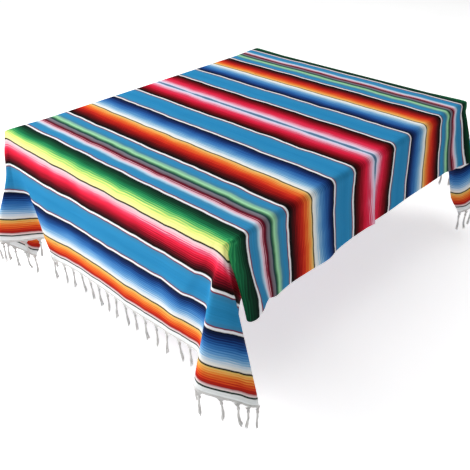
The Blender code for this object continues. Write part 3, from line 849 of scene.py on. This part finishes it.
STRIPE_CHART: list[Shade] = [
    *smooth((0, 90, 120, 150), (5, 90, 130, 160), (8, 215, 215, 240), (14, 225, 205, 225)),
    *mixed((24, 240, 160, 185), (34, 215, 70, 100), (50, 225, 30, 65), (70, 160, 15, 35), (88, 85, 5, 12)),
    *smooth((103, 25, 10, 10), (109, 25, 12, 12)),
    *band(WHITE, 110.5, 116), *band(MAROON, 117.5, 119.5),
    *smooth(
        (121.5, 62, 128, 168), (135, 46, 138, 188), (160, 40, 132, 184), (190, 46, 138, 188),
        (207, 64, 130, 172),
    ),
    *band(MAROON, 208.5, 210.5), *band(WHITE, 212, 217.5),
    *smooth((219, 12, 15, 25)),
    *mixed(
        (238, 20, 42, 95), (254, 34, 82, 150), (270, 58, 118, 182), (286, 98, 155, 202),
        (299, 160, 198, 222),
    ),
    *smooth((308, 222, 230, 234), (315, 240, 240, 234), (318.5, 240, 238, 226)),
    *band(UMBER, 320, 323.5),
    *smooth((325, 236, 196, 118)),
    *mixed(
        (334, 240, 160, 78), (346, 232, 106, 44), (362, 212, 50, 30), (380, 160, 22, 20), (398, 82, 12, 16),
    ),
    *smooth((414, 20, 12, 12), (422, 18, 14, 14)),
    *band(WHITE, 423.5, 429.5), *band(MAROON, 431, 433),
    *smooth(
        (435, 64, 132, 172), (450, 46, 138, 188), (464, 66, 130, 160), (471, 130, 180, 160),
        (481, 160, 220, 170), (489, 60, 110, 80), (496, 25, 50, 60), (501, 120, 124, 132),
        (510, 116, 92, 104), (515, 75, 12, 28),
    ),
    *mixed((524, 150, 40, 60)),
    *smooth(
        (534, 235, 200, 215), (541, 180, 215, 235), (549, 70, 140, 180), (560, 46, 138, 188),
        (576, 62, 134, 180),
    ),
    *band(MAROON, 578, 580), *band(WHITE, 581.5, 587),
    *smooth((588.5, 12, 28, 24)),
    *mixed(
        (605, 16, 58, 40), (620, 24, 98, 62), (632, 36, 136, 84), (642, 72, 180, 104), (651, 160, 216, 116),
        (659, 224, 234, 124),
    ),
    *smooth((668, 240, 240, 150), (677.5, 245, 238, 160)),
    *band(SEPIA, 679, 683),
    *smooth((684.5, 236, 214, 212)),
    *mixed(
        (697, 250, 170, 190), (706, 225, 75, 110), (718, 235, 35, 65), (735, 170, 20, 40),
        (750, 85, 12, 25),
    ),
    *smooth((764, 22, 12, 12), (767.5, 22, 12, 12)),
    *band(WHITE, 769, 774.5), *band(MAROON, 776, 778),
    *smooth(
        (780, 64, 132, 172), (796, 46, 138, 188), (825, 40, 132, 184), (845, 46, 138, 188),
        (857, 64, 130, 172),
    ),
    *band(MAROON, 858.5, 860.5), *band(WHITE, 862, 867.5),
    *smooth((869, 12, 18, 30)),
    *mixed(
        (886, 20, 44, 98), (900, 34, 86, 154), (914, 58, 120, 184), (928, 94, 152, 204),
        (940, 146, 188, 220),
    ),
    *smooth((950, 214, 224, 232), (958, 238, 236, 228), (960.5, 238, 234, 224)),
    *band(SOOT, 962, 965.5),
    *smooth((967, 234, 196, 112)),
    *mixed((975, 240, 158, 70), (988, 230, 104, 40), (1000, 212, 54, 30)),
    *smooth((1011, 160, 26, 26), (1016, 230, 200, 200), (1019, 238, 224, 222)),
    *band(PINE, 1020.5, 1024),
    *smooth((1025.5, 238, 242, 242), (1100, 245, 245, 245)),
]


class Strand(NamedTuple):
    """One yarn of a tassel: where it starts and ends sideways, its turns and its length."""

    start: float
    spread_x: float
    spread_y: float
    turns: float
    length: float


# What feeds a node's input: a socket or a number, and for a whole node one of them by input
Socket = bpy.types.NodeSocket
Value = bpy.types.NodeSocket | float
Feeds = dict[str | int, object]


class NodeLine:
    """Small helper that adds and joins the nodes of one tree."""

    def __init__(self, tree: bpy.types.NodeTree) -> None:
        """Keep the tree that the nodes go into."""
        self.tree = tree

    def add(self, kind: str, feeds: Feeds | None = None, **settings: object) -> bpy.types.Node:
        """Add a node.

        Args:
            kind: The node's type.
            feeds: A number, colour or socket for each input, by the input's name or number.
            settings: The node's own settings.

        Returns:
            The new node.
        """
        node = self.tree.nodes.new(kind)
        node.location = (220.0 * (len(self.tree.nodes) % 12), -180.0 * (len(self.tree.nodes) // 12))
        for name, value in settings.items():
            setattr(node, name, value)
        self.feed(node, feeds or {})
        return node

    def feed(self, node: bpy.types.Node, feeds: Feeds) -> None:
        """Join each input to a socket, or set it to a value."""
        for name, value in feeds.items():
            if isinstance(value, bpy.types.NodeSocket):
                self.tree.links.new(value, node.inputs[name])
            else:
                node.inputs[name].default_value = value

    def math(self, operation: str, first: Value, second: Value = 0.0, clamp: bool = False) -> Socket:
        """Add a Math node.

        Args:
            operation: The Math node's operation.
            first: Its first value or socket.
            second: Its second value or socket.
            clamp: True to keep the result from 0 to 1.

        Returns:
            The result's socket.
        """
        feeds = {0: first, 1: second}
        return self.add("ShaderNodeMath", feeds, operation=operation, use_clamp=clamp).outputs[0]

    def scaled(self, value: Value, factor: Value, offset: Value) -> Socket:
        """Add a product and a sum: the value times the factor, plus the offset."""
        return self.math("ADD", self.math("MULTIPLY", value, factor), offset)

    def wave(self, turns: Value, power: float) -> Socket:
        """Add rounded ridges, one for each whole number: the lower the power, the fuller they are."""
        sine = self.math("SINE", self.math("MULTIPLY", turns, math.pi))
        return self.math("POWER", self.math("ABSOLUTE", sine), power)

    def mix(self, factor: Value, first: Socket, second: Socket, blend: str = "MIX") -> Socket:
        """Add a colour mix.

        Args:
            factor: Share of the second colour.
            first: The first colour.
            second: The second colour.
            blend: How the two are mixed.

        Returns:
            The mixed colour's socket.
        """
        feeds = {0: factor, 6: first, 7: second}
        return self.add("ShaderNodeMix", feeds, data_type="RGBA", blend_type=blend).outputs[2]

    def noise(self, place: Socket, stretch: tuple[float, float, float], detail: float) -> Socket:
        """Noise from -0.5 to 0.5 over a place that is stretched first.

        Args:
            place: The place's socket.
            stretch: Noise cells for each metre along X, Y and Z.
            detail: Octaves of the noise.

        Returns:
            The centred noise's socket.
        """
        scale = self.add("ShaderNodeMapping", {"Scale": stretch, "Vector": place})
        feeds = {"Scale": 1.0, "Detail": detail, "Vector": scale.outputs["Vector"]}
        return self.math("SUBTRACT", self.add("ShaderNodeTexNoise", feeds).outputs["Fac"], 0.5)

    def bump(self, height: Socket, strength: float, distance: float) -> Socket:
        """Add a Bump node and give its normal."""
        feeds = {"Strength": strength, "Distance": distance, "Height": height}
        return self.add("ShaderNodeBump", feeds).outputs["Normal"]

    def ramp(self, share: Socket, low: tuple[float, ...], high: tuple[float, ...]) -> Socket:
        """Add a ramp between two colours and give its colour."""
        node = self.add("ShaderNodeValToRGB", {"Fac": share})
        node.color_ramp.elements[0].color = (*low, 1.0)
        node.color_ramp.elements[1].color = (*high, 1.0)
        return node.outputs["Color"]


def new_finish(name: str) -> tuple[bpy.types.Material, bpy.types.Node, NodeLine]:
    """Start a material: the material itself, its shader and its node helper."""
    material = bpy.data.materials.new(name)
    material.use_nodes = True
    tree = material.node_tree
    return material, tree.nodes["Principled BSDF"], NodeLine(tree)


@dataclass(frozen=True)
class YarnRibs:
    """Shader group for the raised weft: fine ribs across the warp and a soft nap."""

    name: str = "weft_ribs"
    rib_pitch: float = 0.0024
    warp_pitch: float = 0.0046
    nap_scale: float = 260.0

    def group(self) -> bpy.types.NodeTree:
        """Build the group once and give it back to every later caller.

        Returns:
            The group, with the flat cloth's metres as its input vector.
        """
        if self.name in bpy.data.node_groups:
            return bpy.data.node_groups[self.name]
        tree = bpy.data.node_groups.new(self.name, "ShaderNodeTree")
        face = tree.interface
        face.new_socket("Cloth Place", in_out="INPUT", socket_type="NodeSocketVector")
        for name, pitch in (("Rib Pitch", self.rib_pitch), ("Warp Pitch", self.warp_pitch)):
            face.new_socket(name, in_out="INPUT", socket_type="NodeSocketFloat").default_value = pitch
        for name in ("Height", "Shadow"):
            face.new_socket(name, in_out="OUTPUT", socket_type="NodeSocketFloat")
        made = NodeLine(tree)
        source = made.add("NodeGroupInput").outputs
        place = source["Cloth Place"]
        split = made.add("ShaderNodeSeparateXYZ", {0: place}).outputs
        feeds = {"Scale": self.nap_scale, "Detail": 3.0, "Vector": place}
        nap = made.add("ShaderNodeTexNoise", feeds).outputs["Fac"]
        weft = made.math("DIVIDE", split["Y"], source["Rib Pitch"])
        weft = made.math("ADD", weft, made.math("MULTIPLY", nap, 0.9))
        ribs = made.wave(weft, 0.6)
        ends = made.math("DIVIDE", split["X"], source["Warp Pitch"])
        half_steps = made.math("MULTIPLY", made.math("FLOOR", weft), 0.5)
        beads = made.wave(made.math("ADD", ends, half_steps), 0.5)
        height = made.math("MULTIPLY", ribs, made.scaled(beads, 0.45, 0.55))
        height = made.math("ADD", height, made.math("MULTIPLY", nap, 0.35))
        made.add("NodeGroupOutput", {"Height": height, "Shadow": made.scaled(height, 0.16, 0.88)})
        return tree


def linear(level: int) -> float:
    """Light of a display level from 0 to 255."""
    share = level / 255.0
    return share / 12.92 if share <= 0.04045 else ((share + 0.055) / 1.055) ** 2.4


@dataclass(frozen=True)
class SerapeWeave:
    """Finish of the woven panel: the charted stripes, their ragged shading and the ribs."""

    name: str = "serape_weave"
    middle: float = 0.0148
    ragged: float = 22.0
    wander: float = 15.0
    ripple: float = 5.0
    line_pitch: float = 6.6
    line_reach: float = 5.5
    streaks: float = 0.34
    slow_cells: tuple[float, float, float] = (8.0, 3.0, 1.0)
    small_cells: tuple[float, float, float] = (26.0, 14.0, 1.0)
    streak_cells: tuple[float, float, float] = (9.0, 240.0, 1.0)
    line_cells: tuple[float, float, float] = (5.0, 300.0, 1.0)
    rib_depth: float = 0.0009
    shades_per_ramp: int = 28

    def place_in_chart(self, made: NodeLine, place: Socket) -> Socket:
        """Distance from the middle of the pattern, in millimetres, with uneven borders.

        Args:
            made: The material's node helper.
            place: The flat cloth's metres.

        Returns:
            The distance's socket.
        """
        split = made.add("ShaderNodeSeparateXYZ", {0: place})
        away = made.math("ABSOLUTE", made.math("SUBTRACT", split.outputs["Y"], self.middle))
        away = made.math("MULTIPLY", away, 1000.0)
        slow = made.noise(place, self.slow_cells, 1.0)
        away = made.math("ADD", away, made.math("MULTIPLY", slow, self.wander))
        small = made.noise(place, self.small_cells, 2.0)
        return made.math("ADD", away, made.math("MULTIPLY", small, self.ripple))

    def one_ramp(self, made: NodeLine, away: Socket, part: list[Shade]) -> bpy.types.Node:
        """Colour ramp of a stretch of the chart, read at a distance."""
        low, high = part[0].place, part[-1].place
        share = made.math("DIVIDE", made.math("SUBTRACT", away, low), high - low, clamp=True)
        ramp = made.add("ShaderNodeValToRGB", {"Fac": share})
        stops = ramp.color_ramp.elements
        for index, shade in enumerate(part):
            where = (shade.place - low) / (high - low)
            stop = stops[index] if index < 2 else stops.new(where)
            stop.position = where
            stop.color = (linear(shade.red), linear(shade.green), linear(shade.blue), shade.ombre)
        return ramp

    def ramps(self, made: NodeLine, away: Socket) -> tuple[Socket, Socket]:
        """Reading of the chart at a distance.

        Args:
            made: The material's node helper.
            away: Chart distance in millimetres.

        Returns:
            The colour, and how far the yarn shades are mixed line by line there.
        """
        colour = ombre = None
        for start in range(0, len(STRIPE_CHART) - 1, self.shades_per_ramp):
            part = STRIPE_CHART[start : start + self.shades_per_ramp + 1]
            ramp = self.one_ramp(made, away, part).outputs
            if colour is None:
                colour, ombre = ramp["Color"], ramp["Alpha"]
                continue
            past = made.math("GREATER_THAN", away, part[0].place)
            colour = made.mix(past, colour, ramp["Color"])
            change = made.math("SUBTRACT", ramp["Alpha"], ombre)
            ombre = made.math("ADD", ombre, made.math("MULTIPLY", change, past))
        return colour, ombre

    def line_by_line(self, made: NodeLine, away: Socket, ombre: Socket, place: Socket) -> Socket:
        """Chart distance in which neighbouring picks take yarn from further on or back.

        Args:
            made: The material's node helper.
            away: The plain chart distance.
            ombre: How far the shades are mixed there.
            place: The flat cloth's metres.

        Returns:
            The uneven distance's socket.
        """
        picks = made.math("SINE", made.math("MULTIPLY", away, 2.0 * math.pi / self.line_pitch))
        picks = made.math("MULTIPLY", picks, self.line_reach)
        streak = made.math("MULTIPLY", made.noise(place, self.streak_cells, 1.0), self.ragged)
        both = made.math("MULTIPLY", made.math("ADD", picks, streak), ombre)
        return made.math("ADD", away, both)

    def build(self) -> bpy.types.Material:
        """Make the material."""
        material, shader, made = new_finish(self.name)
        place = made.add("ShaderNodeUVMap", uv_map="weave").outputs["UV"]
        away = self.place_in_chart(made, place)
        _, ombre = self.ramps(made, away)
        colour, _ = self.ramps(made, self.line_by_line(made, away, ombre, place))
        ribs = made.add("ShaderNodeGroup", node_tree=YarnRibs().group())
        made.feed(ribs, {"Cloth Place": place})
        lines = made.scaled(made.noise(place, self.line_cells, 2.0), self.streaks, 1.0)
        # Painted shade: the ribs' grooves darken and their crests lighten the base colour, times random
        # streaks of yarn tone.
        rib_shade_and_streaks = made.math("MULTIPLY", ribs.outputs["Shadow"], lines)
        tone = made.add("ShaderNodeCombineColor", dict.fromkeys(("Red", "Green", "Blue"), rib_shade_and_streaks))
        feeds = {
            "Base Color": made.mix(1.0, colour, tone.outputs["Color"], "MULTIPLY"),
            "Roughness": 0.92,
            "Specular IOR Level": 0.05,
            "Normal": made.bump(ribs.outputs["Height"], 0.55, self.rib_depth),
        }
        made.feed(shader, feeds)
        return material


@dataclass(frozen=True)
class FringeYarn:
    """Finish of the tassels and the hem strip: white plied yarn with a faint mottle, bumps along its diagonal
    plies and painted shade in the grooves between them.
    """

    name: str = "fringe_yarn"
    bright: tuple[float, float, float] = (0.86, 0.855, 0.84)
    dull: tuple[float, float, float] = (0.66, 0.655, 0.64)

    def build(self) -> bpy.types.Material:
        """Make the material."""
        material, shader, made = new_finish(self.name)
        place = made.add("ShaderNodeTexCoord").outputs["Object"]
        cloudy = made.noise(place, (90.0, 90.0, 60.0), 3.0)
        feeds = {"Scale": 260.0, "Distortion": 2.5, "Vector": place}
        ply = made.add("ShaderNodeTexWave", feeds, wave_type="BANDS", bands_direction="DIAGONAL")
        # Painted shade: the colour lightens on the ply ridges and darkens in the grooves between them.
        ply_groove_shade = made.math("MULTIPLY", ply.outputs["Fac"], 0.6)
        share = made.math("ADD", made.math("MULTIPLY", cloudy, 1.2), ply_groove_shade, clamp=True)
        feeds = {
            "Base Color": made.ramp(share, self.dull, self.bright),
            "Roughness": 0.95,
            "Specular IOR Level": 0.15,
            "Normal": made.bump(ply.outputs["Fac"], 0.5, 0.0006),
        }
        made.feed(shader, feeds)
        return material


@dataclass(frozen=True)
class StudioFloor:
    """Finish of the floor: plain and pale, with a faint mottle."""

    name: str = "pale_floor"
    dull: float = 0.90
    bright: float = 0.94
    glow: float = 0.60

    def build(self) -> bpy.types.Material:
        """Make the material."""
        material, shader, made = new_finish(self.name)
        place = made.add("ShaderNodeTexCoord").outputs["Object"]
        mottle = made.math("ADD", made.noise(place, (3.0, 3.0, 3.0), 3.0), 0.5)
        colour = made.ramp(mottle, (self.dull,) * 3, (self.bright,) * 3)
        feeds = {"Base Color": colour, "Emission Color": colour}
        made.feed(shader, {**feeds, "Emission Strength": self.glow, "Roughness": 0.9})
        return material


TASSEL_STRANDS: list[Strand] = table(
    Strand,
    (-0.0090, -0.0030, 0.0010, 0.9, 0.97), (-0.0055, -0.0016, -0.0022, 1.1, 1.00),
    (-0.0020, 0.0004, 0.0026, 1.0, 0.93), (0.0020, 0.0022, -0.0018, 1.2, 0.98),
    (0.0058, 0.0034, 0.0012, 0.9, 0.95), (0.0090, 0.0012, -0.0004, 1.0, 0.90),
)


@dataclass
class TasselShape:
    """One knotted tassel, hanging down from the hem at its own origin."""

    seed: int
    length: float = 0.082
    knot_drop: float = 0.013
    knot_height: float = 0.0115
    yarn: float = 0.0017
    rows: int = 14
    sides: int = 5
    turn_length: float = 0.060
    bundle: float = 0.0014
    loosening: float = 0.0004
    bow: float = 0.0045
    sway: float = 0.0030
    stray_x: float = 0.0012
    stray_y: float = 0.0010
    root_share: float = 0.62
    tip_share: float = 0.75
    knot_ends: float = 0.0020
    knot_bulge: float = 0.0030
    knot_lap: float = 0.13
    knot_flat: float = 0.86
    knot_rows: int = 7

    def centre(self, strand: Strand, share: float) -> tuple[float, float, float]:
        """Middle of a yarn at a share of its length.

        Args:
            strand: The yarn.
            share: 0 at the hem and 1 at the tip.

        Returns:
            The point, hanging from the origin.
        """
        reach = self.length * strand.length
        down = reach * share
        gather = float(ease(down / self.knot_drop))
        knot_end = self.knot_drop + self.knot_height
        below = max(0.0, (down - knot_end) / (reach - knot_end))
        angle = 2.0 * math.pi * (strand.turns * down / self.turn_length + strand.start * 55.0)
        loose = self.bundle + self.loosening * below
        bow = self.bow * math.sin(self.seed * 1.9) * below * below
        sway = self.sway * math.cos(self.seed * 2.7) * math.sin(below * 3.0)
        x = strand.start * (1.0 - gather) + gather * loose * math.cos(angle)
        y = gather * loose * math.sin(angle)
        flare = below**1.6
        stray_x = self.stray_x * math.sin(self.seed * 3.1 + strand.start * 700.0)
        stray_y = self.stray_y * math.cos(self.seed * 2.3 + strand.start * 500.0)
        x += (strand.spread_x + stray_x) * flare + bow + sway
        y += (strand.spread_y + stray_y) * flare
        return x, y, -down

    def build(self) -> bpy.types.Object:
        """Make the tassel's mesh: yarns drawn together, the knot and the loose ends."""
        mesh = bmesh.new()
        for strand in TASSEL_STRANDS:
            self.add_yarn(mesh, strand)
        self.add_knot(mesh)
        for face in mesh.faces:
            face.smooth = True
        bmesh.ops.recalc_face_normals(mesh, faces=mesh.faces)
        return as_object(mesh, f"tassel_shape_{self.seed}")

    def add_yarn(self, mesh: bmesh.types.BMesh, strand: Strand) -> None:
        """One plied yarn from the hem to its tip."""
        previous: list[bmesh.types.BMVert] = []
        for row in range(self.rows + 1):
            share = row / self.rows
            x, y, z = self.centre(strand, share)
            ends = {0: self.root_share, self.rows: self.tip_share}
            thick = self.yarn * ends.get(row, 1.0)
            ring = []
            for corner in range(self.sides):
                angle = 2.0 * math.pi * corner / self.sides + 0.4 * row
                ring.append(mesh.verts.new((x + thick * math.cos(angle), y + thick * math.sin(angle), z)))
            if previous:
                add_quads(mesh, previous, ring, closed=True)
            else:
                mesh.faces.new(ring)
            previous = ring
        mesh.faces.new(previous[::-1])

    def add_knot(self, mesh: bmesh.types.BMesh) -> None:
        """Overhand knot round the gathered yarns: two lapped turns over a round core."""
        middle = -(self.knot_drop + self.knot_height / 2)
        sides = 2 * self.sides
        rings = []
        for row in range(self.knot_rows + 1):
            share = row / self.knot_rows
            z = middle + self.knot_height * (0.5 - share)
            wide = self.knot_ends + self.knot_bulge * math.sin(math.pi * share) ** 0.7
            ring = []
            for corner in range(sides):
                angle = 2.0 * math.pi * corner / sides
                lap = 1.0 + self.knot_lap * math.sin(angle * 2.0 + share * 9.0 + self.seed)
                place = (wide * lap * math.cos(angle), wide * lap * self.knot_flat * math.sin(angle), z)
                ring.append(mesh.verts.new(place))
            rings.append(ring)
        for upper, lower in zip(rings, rings[1:]):
            add_quads(mesh, upper, lower, closed=True)
        mesh.faces.new(rings[0])
        mesh.faces.new(rings[-1][::-1])


@dataclass
class Fringe:
    """One end's fringe: the hem strip that its warp ends leave, and a row of tassels."""

    drape: Drape
    end: End
    tassels: int = 33
    root: float = 0.0064
    strip: float = 0.006
    root_share: float = 0.75
    half_thick: float = 0.62
    thinner: float = 0.2
    lap: float = 0.0006
    fray: float = 0.0007
    fine_fray: float = 0.0005
    stations: int = 240
    length_change: float = 0.07
    sway: float = 0.09
    shapes: int = 5
    seed: int = 7

    @property
    def name(self) -> str:
        """Name of the finished piece."""
        return f"{self.end.name.lower()}_fringe"

    def hem(self) -> float:
        """Flat distance from the middle of the blanket to the hem."""
        return self.drape.sizes.core_y + self.drape.sizes.end_reach(self.end)

    def half(self) -> float:
        """Half of the hem's length."""
        return self.drape.sizes.core_x + self.drape.sizes.side_reach

    def roots(self) -> tuple[np.ndarray, np.ndarray]:
        """Where the tassels leave the strip.

        Returns:
            Their points, and the direction of the hem at each.
        """
        first = -self.half() + self.root
        x = np.linspace(first, -first, self.tassels)
        y = np.full_like(x, self.end.value * (self.hem() + self.strip * self.root_share))
        lift = np.array([0.0, 0.0, self.drape.sizes.wall / 2])
        return self.drape.points(x, y) + lift, unit(self.along(x, y, step=0.004))

    def along(self, x: np.ndarray, y: np.ndarray, step: float) -> np.ndarray:
        """Way along the hem at flat places, from a step behind each to a step ahead."""
        ahead = self.drape.points(np.minimum(x + step, self.half()), y)
        return ahead - self.drape.points(np.maximum(x - step, -self.half()), y)

    def build_strip(self) -> bpy.types.Object:
        """Make the narrow strip of packed weft and warp ends under the hem."""
        x = np.linspace(-self.half(), self.half(), self.stations)
        lift = np.array([0.0, 0.0, self.drape.sizes.wall / 2])
        levels = np.array([0.0, 0.35, 0.7, 1.0])
        mesh = bmesh.new()
        skins: list[list[list[bmesh.types.BMVert]]] = []
        for side in (1.0, -1.0):
            rows = []
            for level in levels:
                frayed = self.fray * np.sin(x * 310.0) * level
                frayed = frayed + self.fine_fray * np.sin(x * 137.0 + 1.0) * level
                y = self.end.value * (self.hem() - self.lap + (self.strip + self.lap) * level + frayed)
                middle = self.drape.points(x, y)
                over = self.drape.points(x, y + self.end.value * 0.001)
                normal = unit(np.cross(self.along(x, y, step=0.002), over - middle)) * self.end.value
                thick = self.drape.sizes.wall * (self.half_thick - self.thinner * level)
                skin = middle + lift + side * normal * thick
                rows.append([mesh.verts.new(point) for point in skin])
            skins.append(rows)
        for rows, outside in zip(skins, (True, False)):
            for upper, lower in zip(rows, rows[1:]):
                add_quads(mesh, upper, lower, closed=False, outside=outside)
        add_quads(mesh, self.rim(skins[0]), self.rim(skins[1]), closed=True)
        bmesh.ops.recalc_face_normals(mesh, faces=mesh.faces)
        for face in mesh.faces:
            face.smooth = True
        return as_object(mesh, "hem_strip")

    def rim(self, rows: list[list[bmesh.types.BMVert]]) -> list[bmesh.types.BMVert]:
        """Border of one skin of the strip, once around."""
        out = list(rows[0])
        out += [row[-1] for row in rows[1:]]
        out += rows[-1][-2::-1]
        out += [row[0] for row in rows[-2:0:-1]]
        return out

    def tree(self, shapes: bpy.types.Collection) -> bpy.types.NodeTree:
        """Geometry Nodes that set a tassel on each root and turn it to the hem.

        Args:
            shapes: The tassel shapes to choose from.

        Returns:
            The node tree, with named inputs for length, sway and finish.
        """
        tree = bpy.data.node_groups.new(f"{self.name}_tassels", "GeometryNodeTree")
        face = tree.interface
        inputs = {"Geometry": "Geometry", "Length Change": "Float", "Sway": "Float", "Finish": "Material"}
        for name, kind in inputs.items():
            face.new_socket(name, in_out="INPUT", socket_type=f"NodeSocket{kind}")
        face.new_socket("Geometry", in_out="OUTPUT", socket_type="NodeSocketGeometry")
        made = NodeLine(tree)
        source = made.add("NodeGroupInput").outputs
        feeds = {"Collection": shapes, "Separate Children": True, "Reset Children": True}
        choose = made.add("GeometryNodeCollectionInfo", feeds)
        heading = made.add("GeometryNodeInputNamedAttribute", {"Name": "heading"}, data_type="FLOAT")
        feeds = {"Min": (-1.0, -1.0, -0.5), "Max": (1.0, 1.0, 0.5), "Seed": self.seed}
        swing = made.add("FunctionNodeRandomValue", feeds, data_type="FLOAT_VECTOR")
        feeds = {0: swing.outputs[0], "Scale": source["Sway"]}
        sway = made.add("ShaderNodeVectorMath", feeds, operation="SCALE")
        turn = made.add("ShaderNodeCombineXYZ", {"Z": heading.outputs[0]})
        feeds = {0: sway.outputs[0], 1: turn.outputs[0]}
        angles = made.add("ShaderNodeVectorMath", feeds, operation="ADD")
        low = made.math("SUBTRACT", 1.0, source["Length Change"])
        high = made.math("ADD", 1.0, source["Length Change"])
        feeds = {2: low, 3: high, "Seed": self.seed + 11}
        length = made.add("FunctionNodeRandomValue", feeds, data_type="FLOAT")
        size = made.add("ShaderNodeCombineXYZ", {"X": 1.0, "Y": 1.0, "Z": length.outputs[1]})
        feeds = {
            "Points": source["Geometry"],
            "Instance": choose.outputs[0],
            "Pick Instance": True,
            "Rotation": angles.outputs[0],
            "Scale": size.outputs[0],
        }
        place = made.add("GeometryNodeInstanceOnPoints", feeds)
        real = made.add("GeometryNodeRealizeInstances", {0: place.outputs[0]})
        feeds = {"Geometry": real.outputs[0], "Material": source["Finish"]}
        finish = made.add("GeometryNodeSetMaterial", feeds)
        made.add("NodeGroupOutput", {"Geometry": finish.outputs[0]})
        return tree

    def build(self, finish: bpy.types.Material) -> bpy.types.Object:
        """Make the fringe as one plain mesh.

        Args:
            finish: The yarn's material.

        Returns:
            The finished piece.
        """
        shapes = bpy.data.collections.new(f"{self.name}_shapes")
        for number in range(self.shapes):
            shapes.objects.link(TasselShape(seed=number + 1 + (10 if self.end is End.FAR else 0)).build())
        points, along = self.roots()
        data = bpy.data.meshes.new(f"{self.name}_roots")
        data.from_pydata([tuple(point) for point in points], [], [])
        heading = data.attributes.new("heading", "FLOAT", "POINT")
        heading.data.foreach_set("value", np.arctan2(along[:, 1], along[:, 0]).astype(np.float32))
        item = bpy.data.objects.new(self.name, data)
        bpy.context.scene.collection.objects.link(item)
        modifier = item.modifiers.new("tassels", "NODES")
        modifier.node_group = self.tree(shapes)
        values = {"Length Change": self.length_change, "Sway": self.sway, "Finish": finish}
        for socket in modifier.node_group.interface.items_tree:
            if socket.in_out == "INPUT" and socket.name in values:
                modifier[socket.identifier] = values[socket.name]
        bpy.context.view_layer.update()
        graph = bpy.context.evaluated_depsgraph_get()
        tassels = bpy.data.meshes.new_from_object(item.evaluated_get(graph))
        item.modifiers.remove(modifier)
        strip = self.build_strip()
        joined = bmesh.new()
        joined.from_mesh(tassels)
        joined.from_mesh(strip.data)
        for face in joined.faces:
            face.smooth = True
            face.material_index = 0
        item.data = bpy.data.meshes.new(self.name)
        joined.to_mesh(item.data)
        joined.free()
        item.data.materials.clear()
        item.data.materials.append(finish)
        for shape in list(shapes.objects):
            bpy.data.objects.remove(shape, do_unlink=True)
        bpy.data.collections.remove(shapes)
        bpy.data.objects.remove(strip, do_unlink=True)
        return item


@dataclass
class Studio:
    """Floor, lights, surroundings and camera."""

    floor_height: float = -0.605
    camera_place: tuple[float, float, float] = (1.2630, -1.4664, 0.7726)
    pitch: float = 33.33
    roll: float = -0.334
    yaw: float = -41.976
    lens: float = 45.07

    def build_floor(self) -> bpy.types.Object:
        """Make the floor."""
        mesh = bmesh.new()
        bmesh.ops.create_grid(mesh, x_segments=8, y_segments=8, size=30.0)
        for vertex in mesh.verts:
            vertex.co.z = self.floor_height
        floor = as_object(mesh, "floor")
        floor.data.materials.append(StudioFloor().build())
        bpy.context.scene.collection.objects.link(floor)
        return floor

    def build_camera(self) -> None:
        """Set the camera where the photograph was taken from."""
        pitch, roll, yaw = (math.radians(v) for v in (self.pitch, self.roll, self.yaw))
        forward = Vector((math.sin(yaw) * math.cos(pitch), math.cos(yaw) * math.cos(pitch), -math.sin(pitch)))
        level = Vector((math.cos(yaw), -math.sin(yaw), 0.0))
        down = forward.cross(level)
        right = level * math.cos(roll) + down * math.sin(roll)
        under = down * math.cos(roll) - level * math.sin(roll)
        frame_axes = Matrix((right, -under, -forward)).transposed()
        data = bpy.data.cameras.new("camera")
        data.sensor_width = 36.0
        data.lens = self.lens
        data.clip_end = 200.0
        camera = bpy.data.objects.new("camera", data)
        camera.matrix_world = Matrix.Translation(self.camera_place) @ frame_axes.to_4x4()
        bpy.context.scene.collection.objects.link(camera)
        bpy.context.scene.camera = camera

    def add_light(self, name: str, place: tuple[float, float, float], size: float, power: float) -> None:
        """Hang a soft lamp that faces the blanket.

        Args:
            name: The lamp's name.
            place: Where it hangs.
            size: Width of its square face.
            power: Its power in watts.
        """
        data = bpy.data.lights.new(name, "AREA")
        data.shape = "SQUARE"
        data.size = size
        data.energy = power
        lamp = bpy.data.objects.new(name, data)
        aim = Vector((0.0, 0.0, -0.2)) - Vector(place)
        lamp.rotation_euler = aim.to_track_quat("-Z", "Y").to_euler()
        lamp.location = place
        bpy.context.scene.collection.objects.link(lamp)

    def build_lights(self) -> None:
        """Hang the lamps and set the pale surroundings."""
        self.add_light("key_lamp", (-3.0, -3.0, 2.6), 2.6, 215.0)
        self.add_light("top_lamp", (-0.6, 0.4, 4.2), 5.0, 118.0)
        world = bpy.data.worlds.new("surroundings")
        world.use_nodes = True
        background = world.node_tree.nodes["Background"]
        background.inputs["Color"].default_value = (1.0, 1.0, 1.0, 1.0)
        background.inputs["Strength"].default_value = 0.22
        bpy.context.scene.world = world
        bpy.context.scene.view_settings.view_transform = "Standard"


def main() -> None:
    """Build the blanket, its fringes and the studio, and report each piece."""
    studio = Studio()
    studio.build_camera()
    drape = Drape()
    sizes = drape.sizes
    panel = WovenPanel(drape)
    cloth = panel.build()
    cloth.data.materials.append(SerapeWeave().build())
    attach(cloth, "root")
    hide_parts("serape_cloth")
    log.info("%s: %d faces", cloth.name, len(cloth.data.polygons))
    yarn = FringeYarn().build()
    for end, node in ((End.NEAR, "fringe_near"), (End.FAR, "fringe_far")):
        fringe = Fringe(drape, end, seed=7 if end is End.NEAR else 23)
        item = fringe.build(yarn)
        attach(item, "root")
        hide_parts(node)
        log.info("%s: %d tassels, %d faces", item.name, fringe.tassels, len(item.data.polygons))
    length = 2.0 * sizes.core_y + sizes.end_reach(End.NEAR) + sizes.end_reach(End.FAR)
    studio.build_floor()
    studio.build_lights()


if __name__ == "__main__":
    logging.basicConfig(level=logging.INFO, format="%(message)s")
    main()
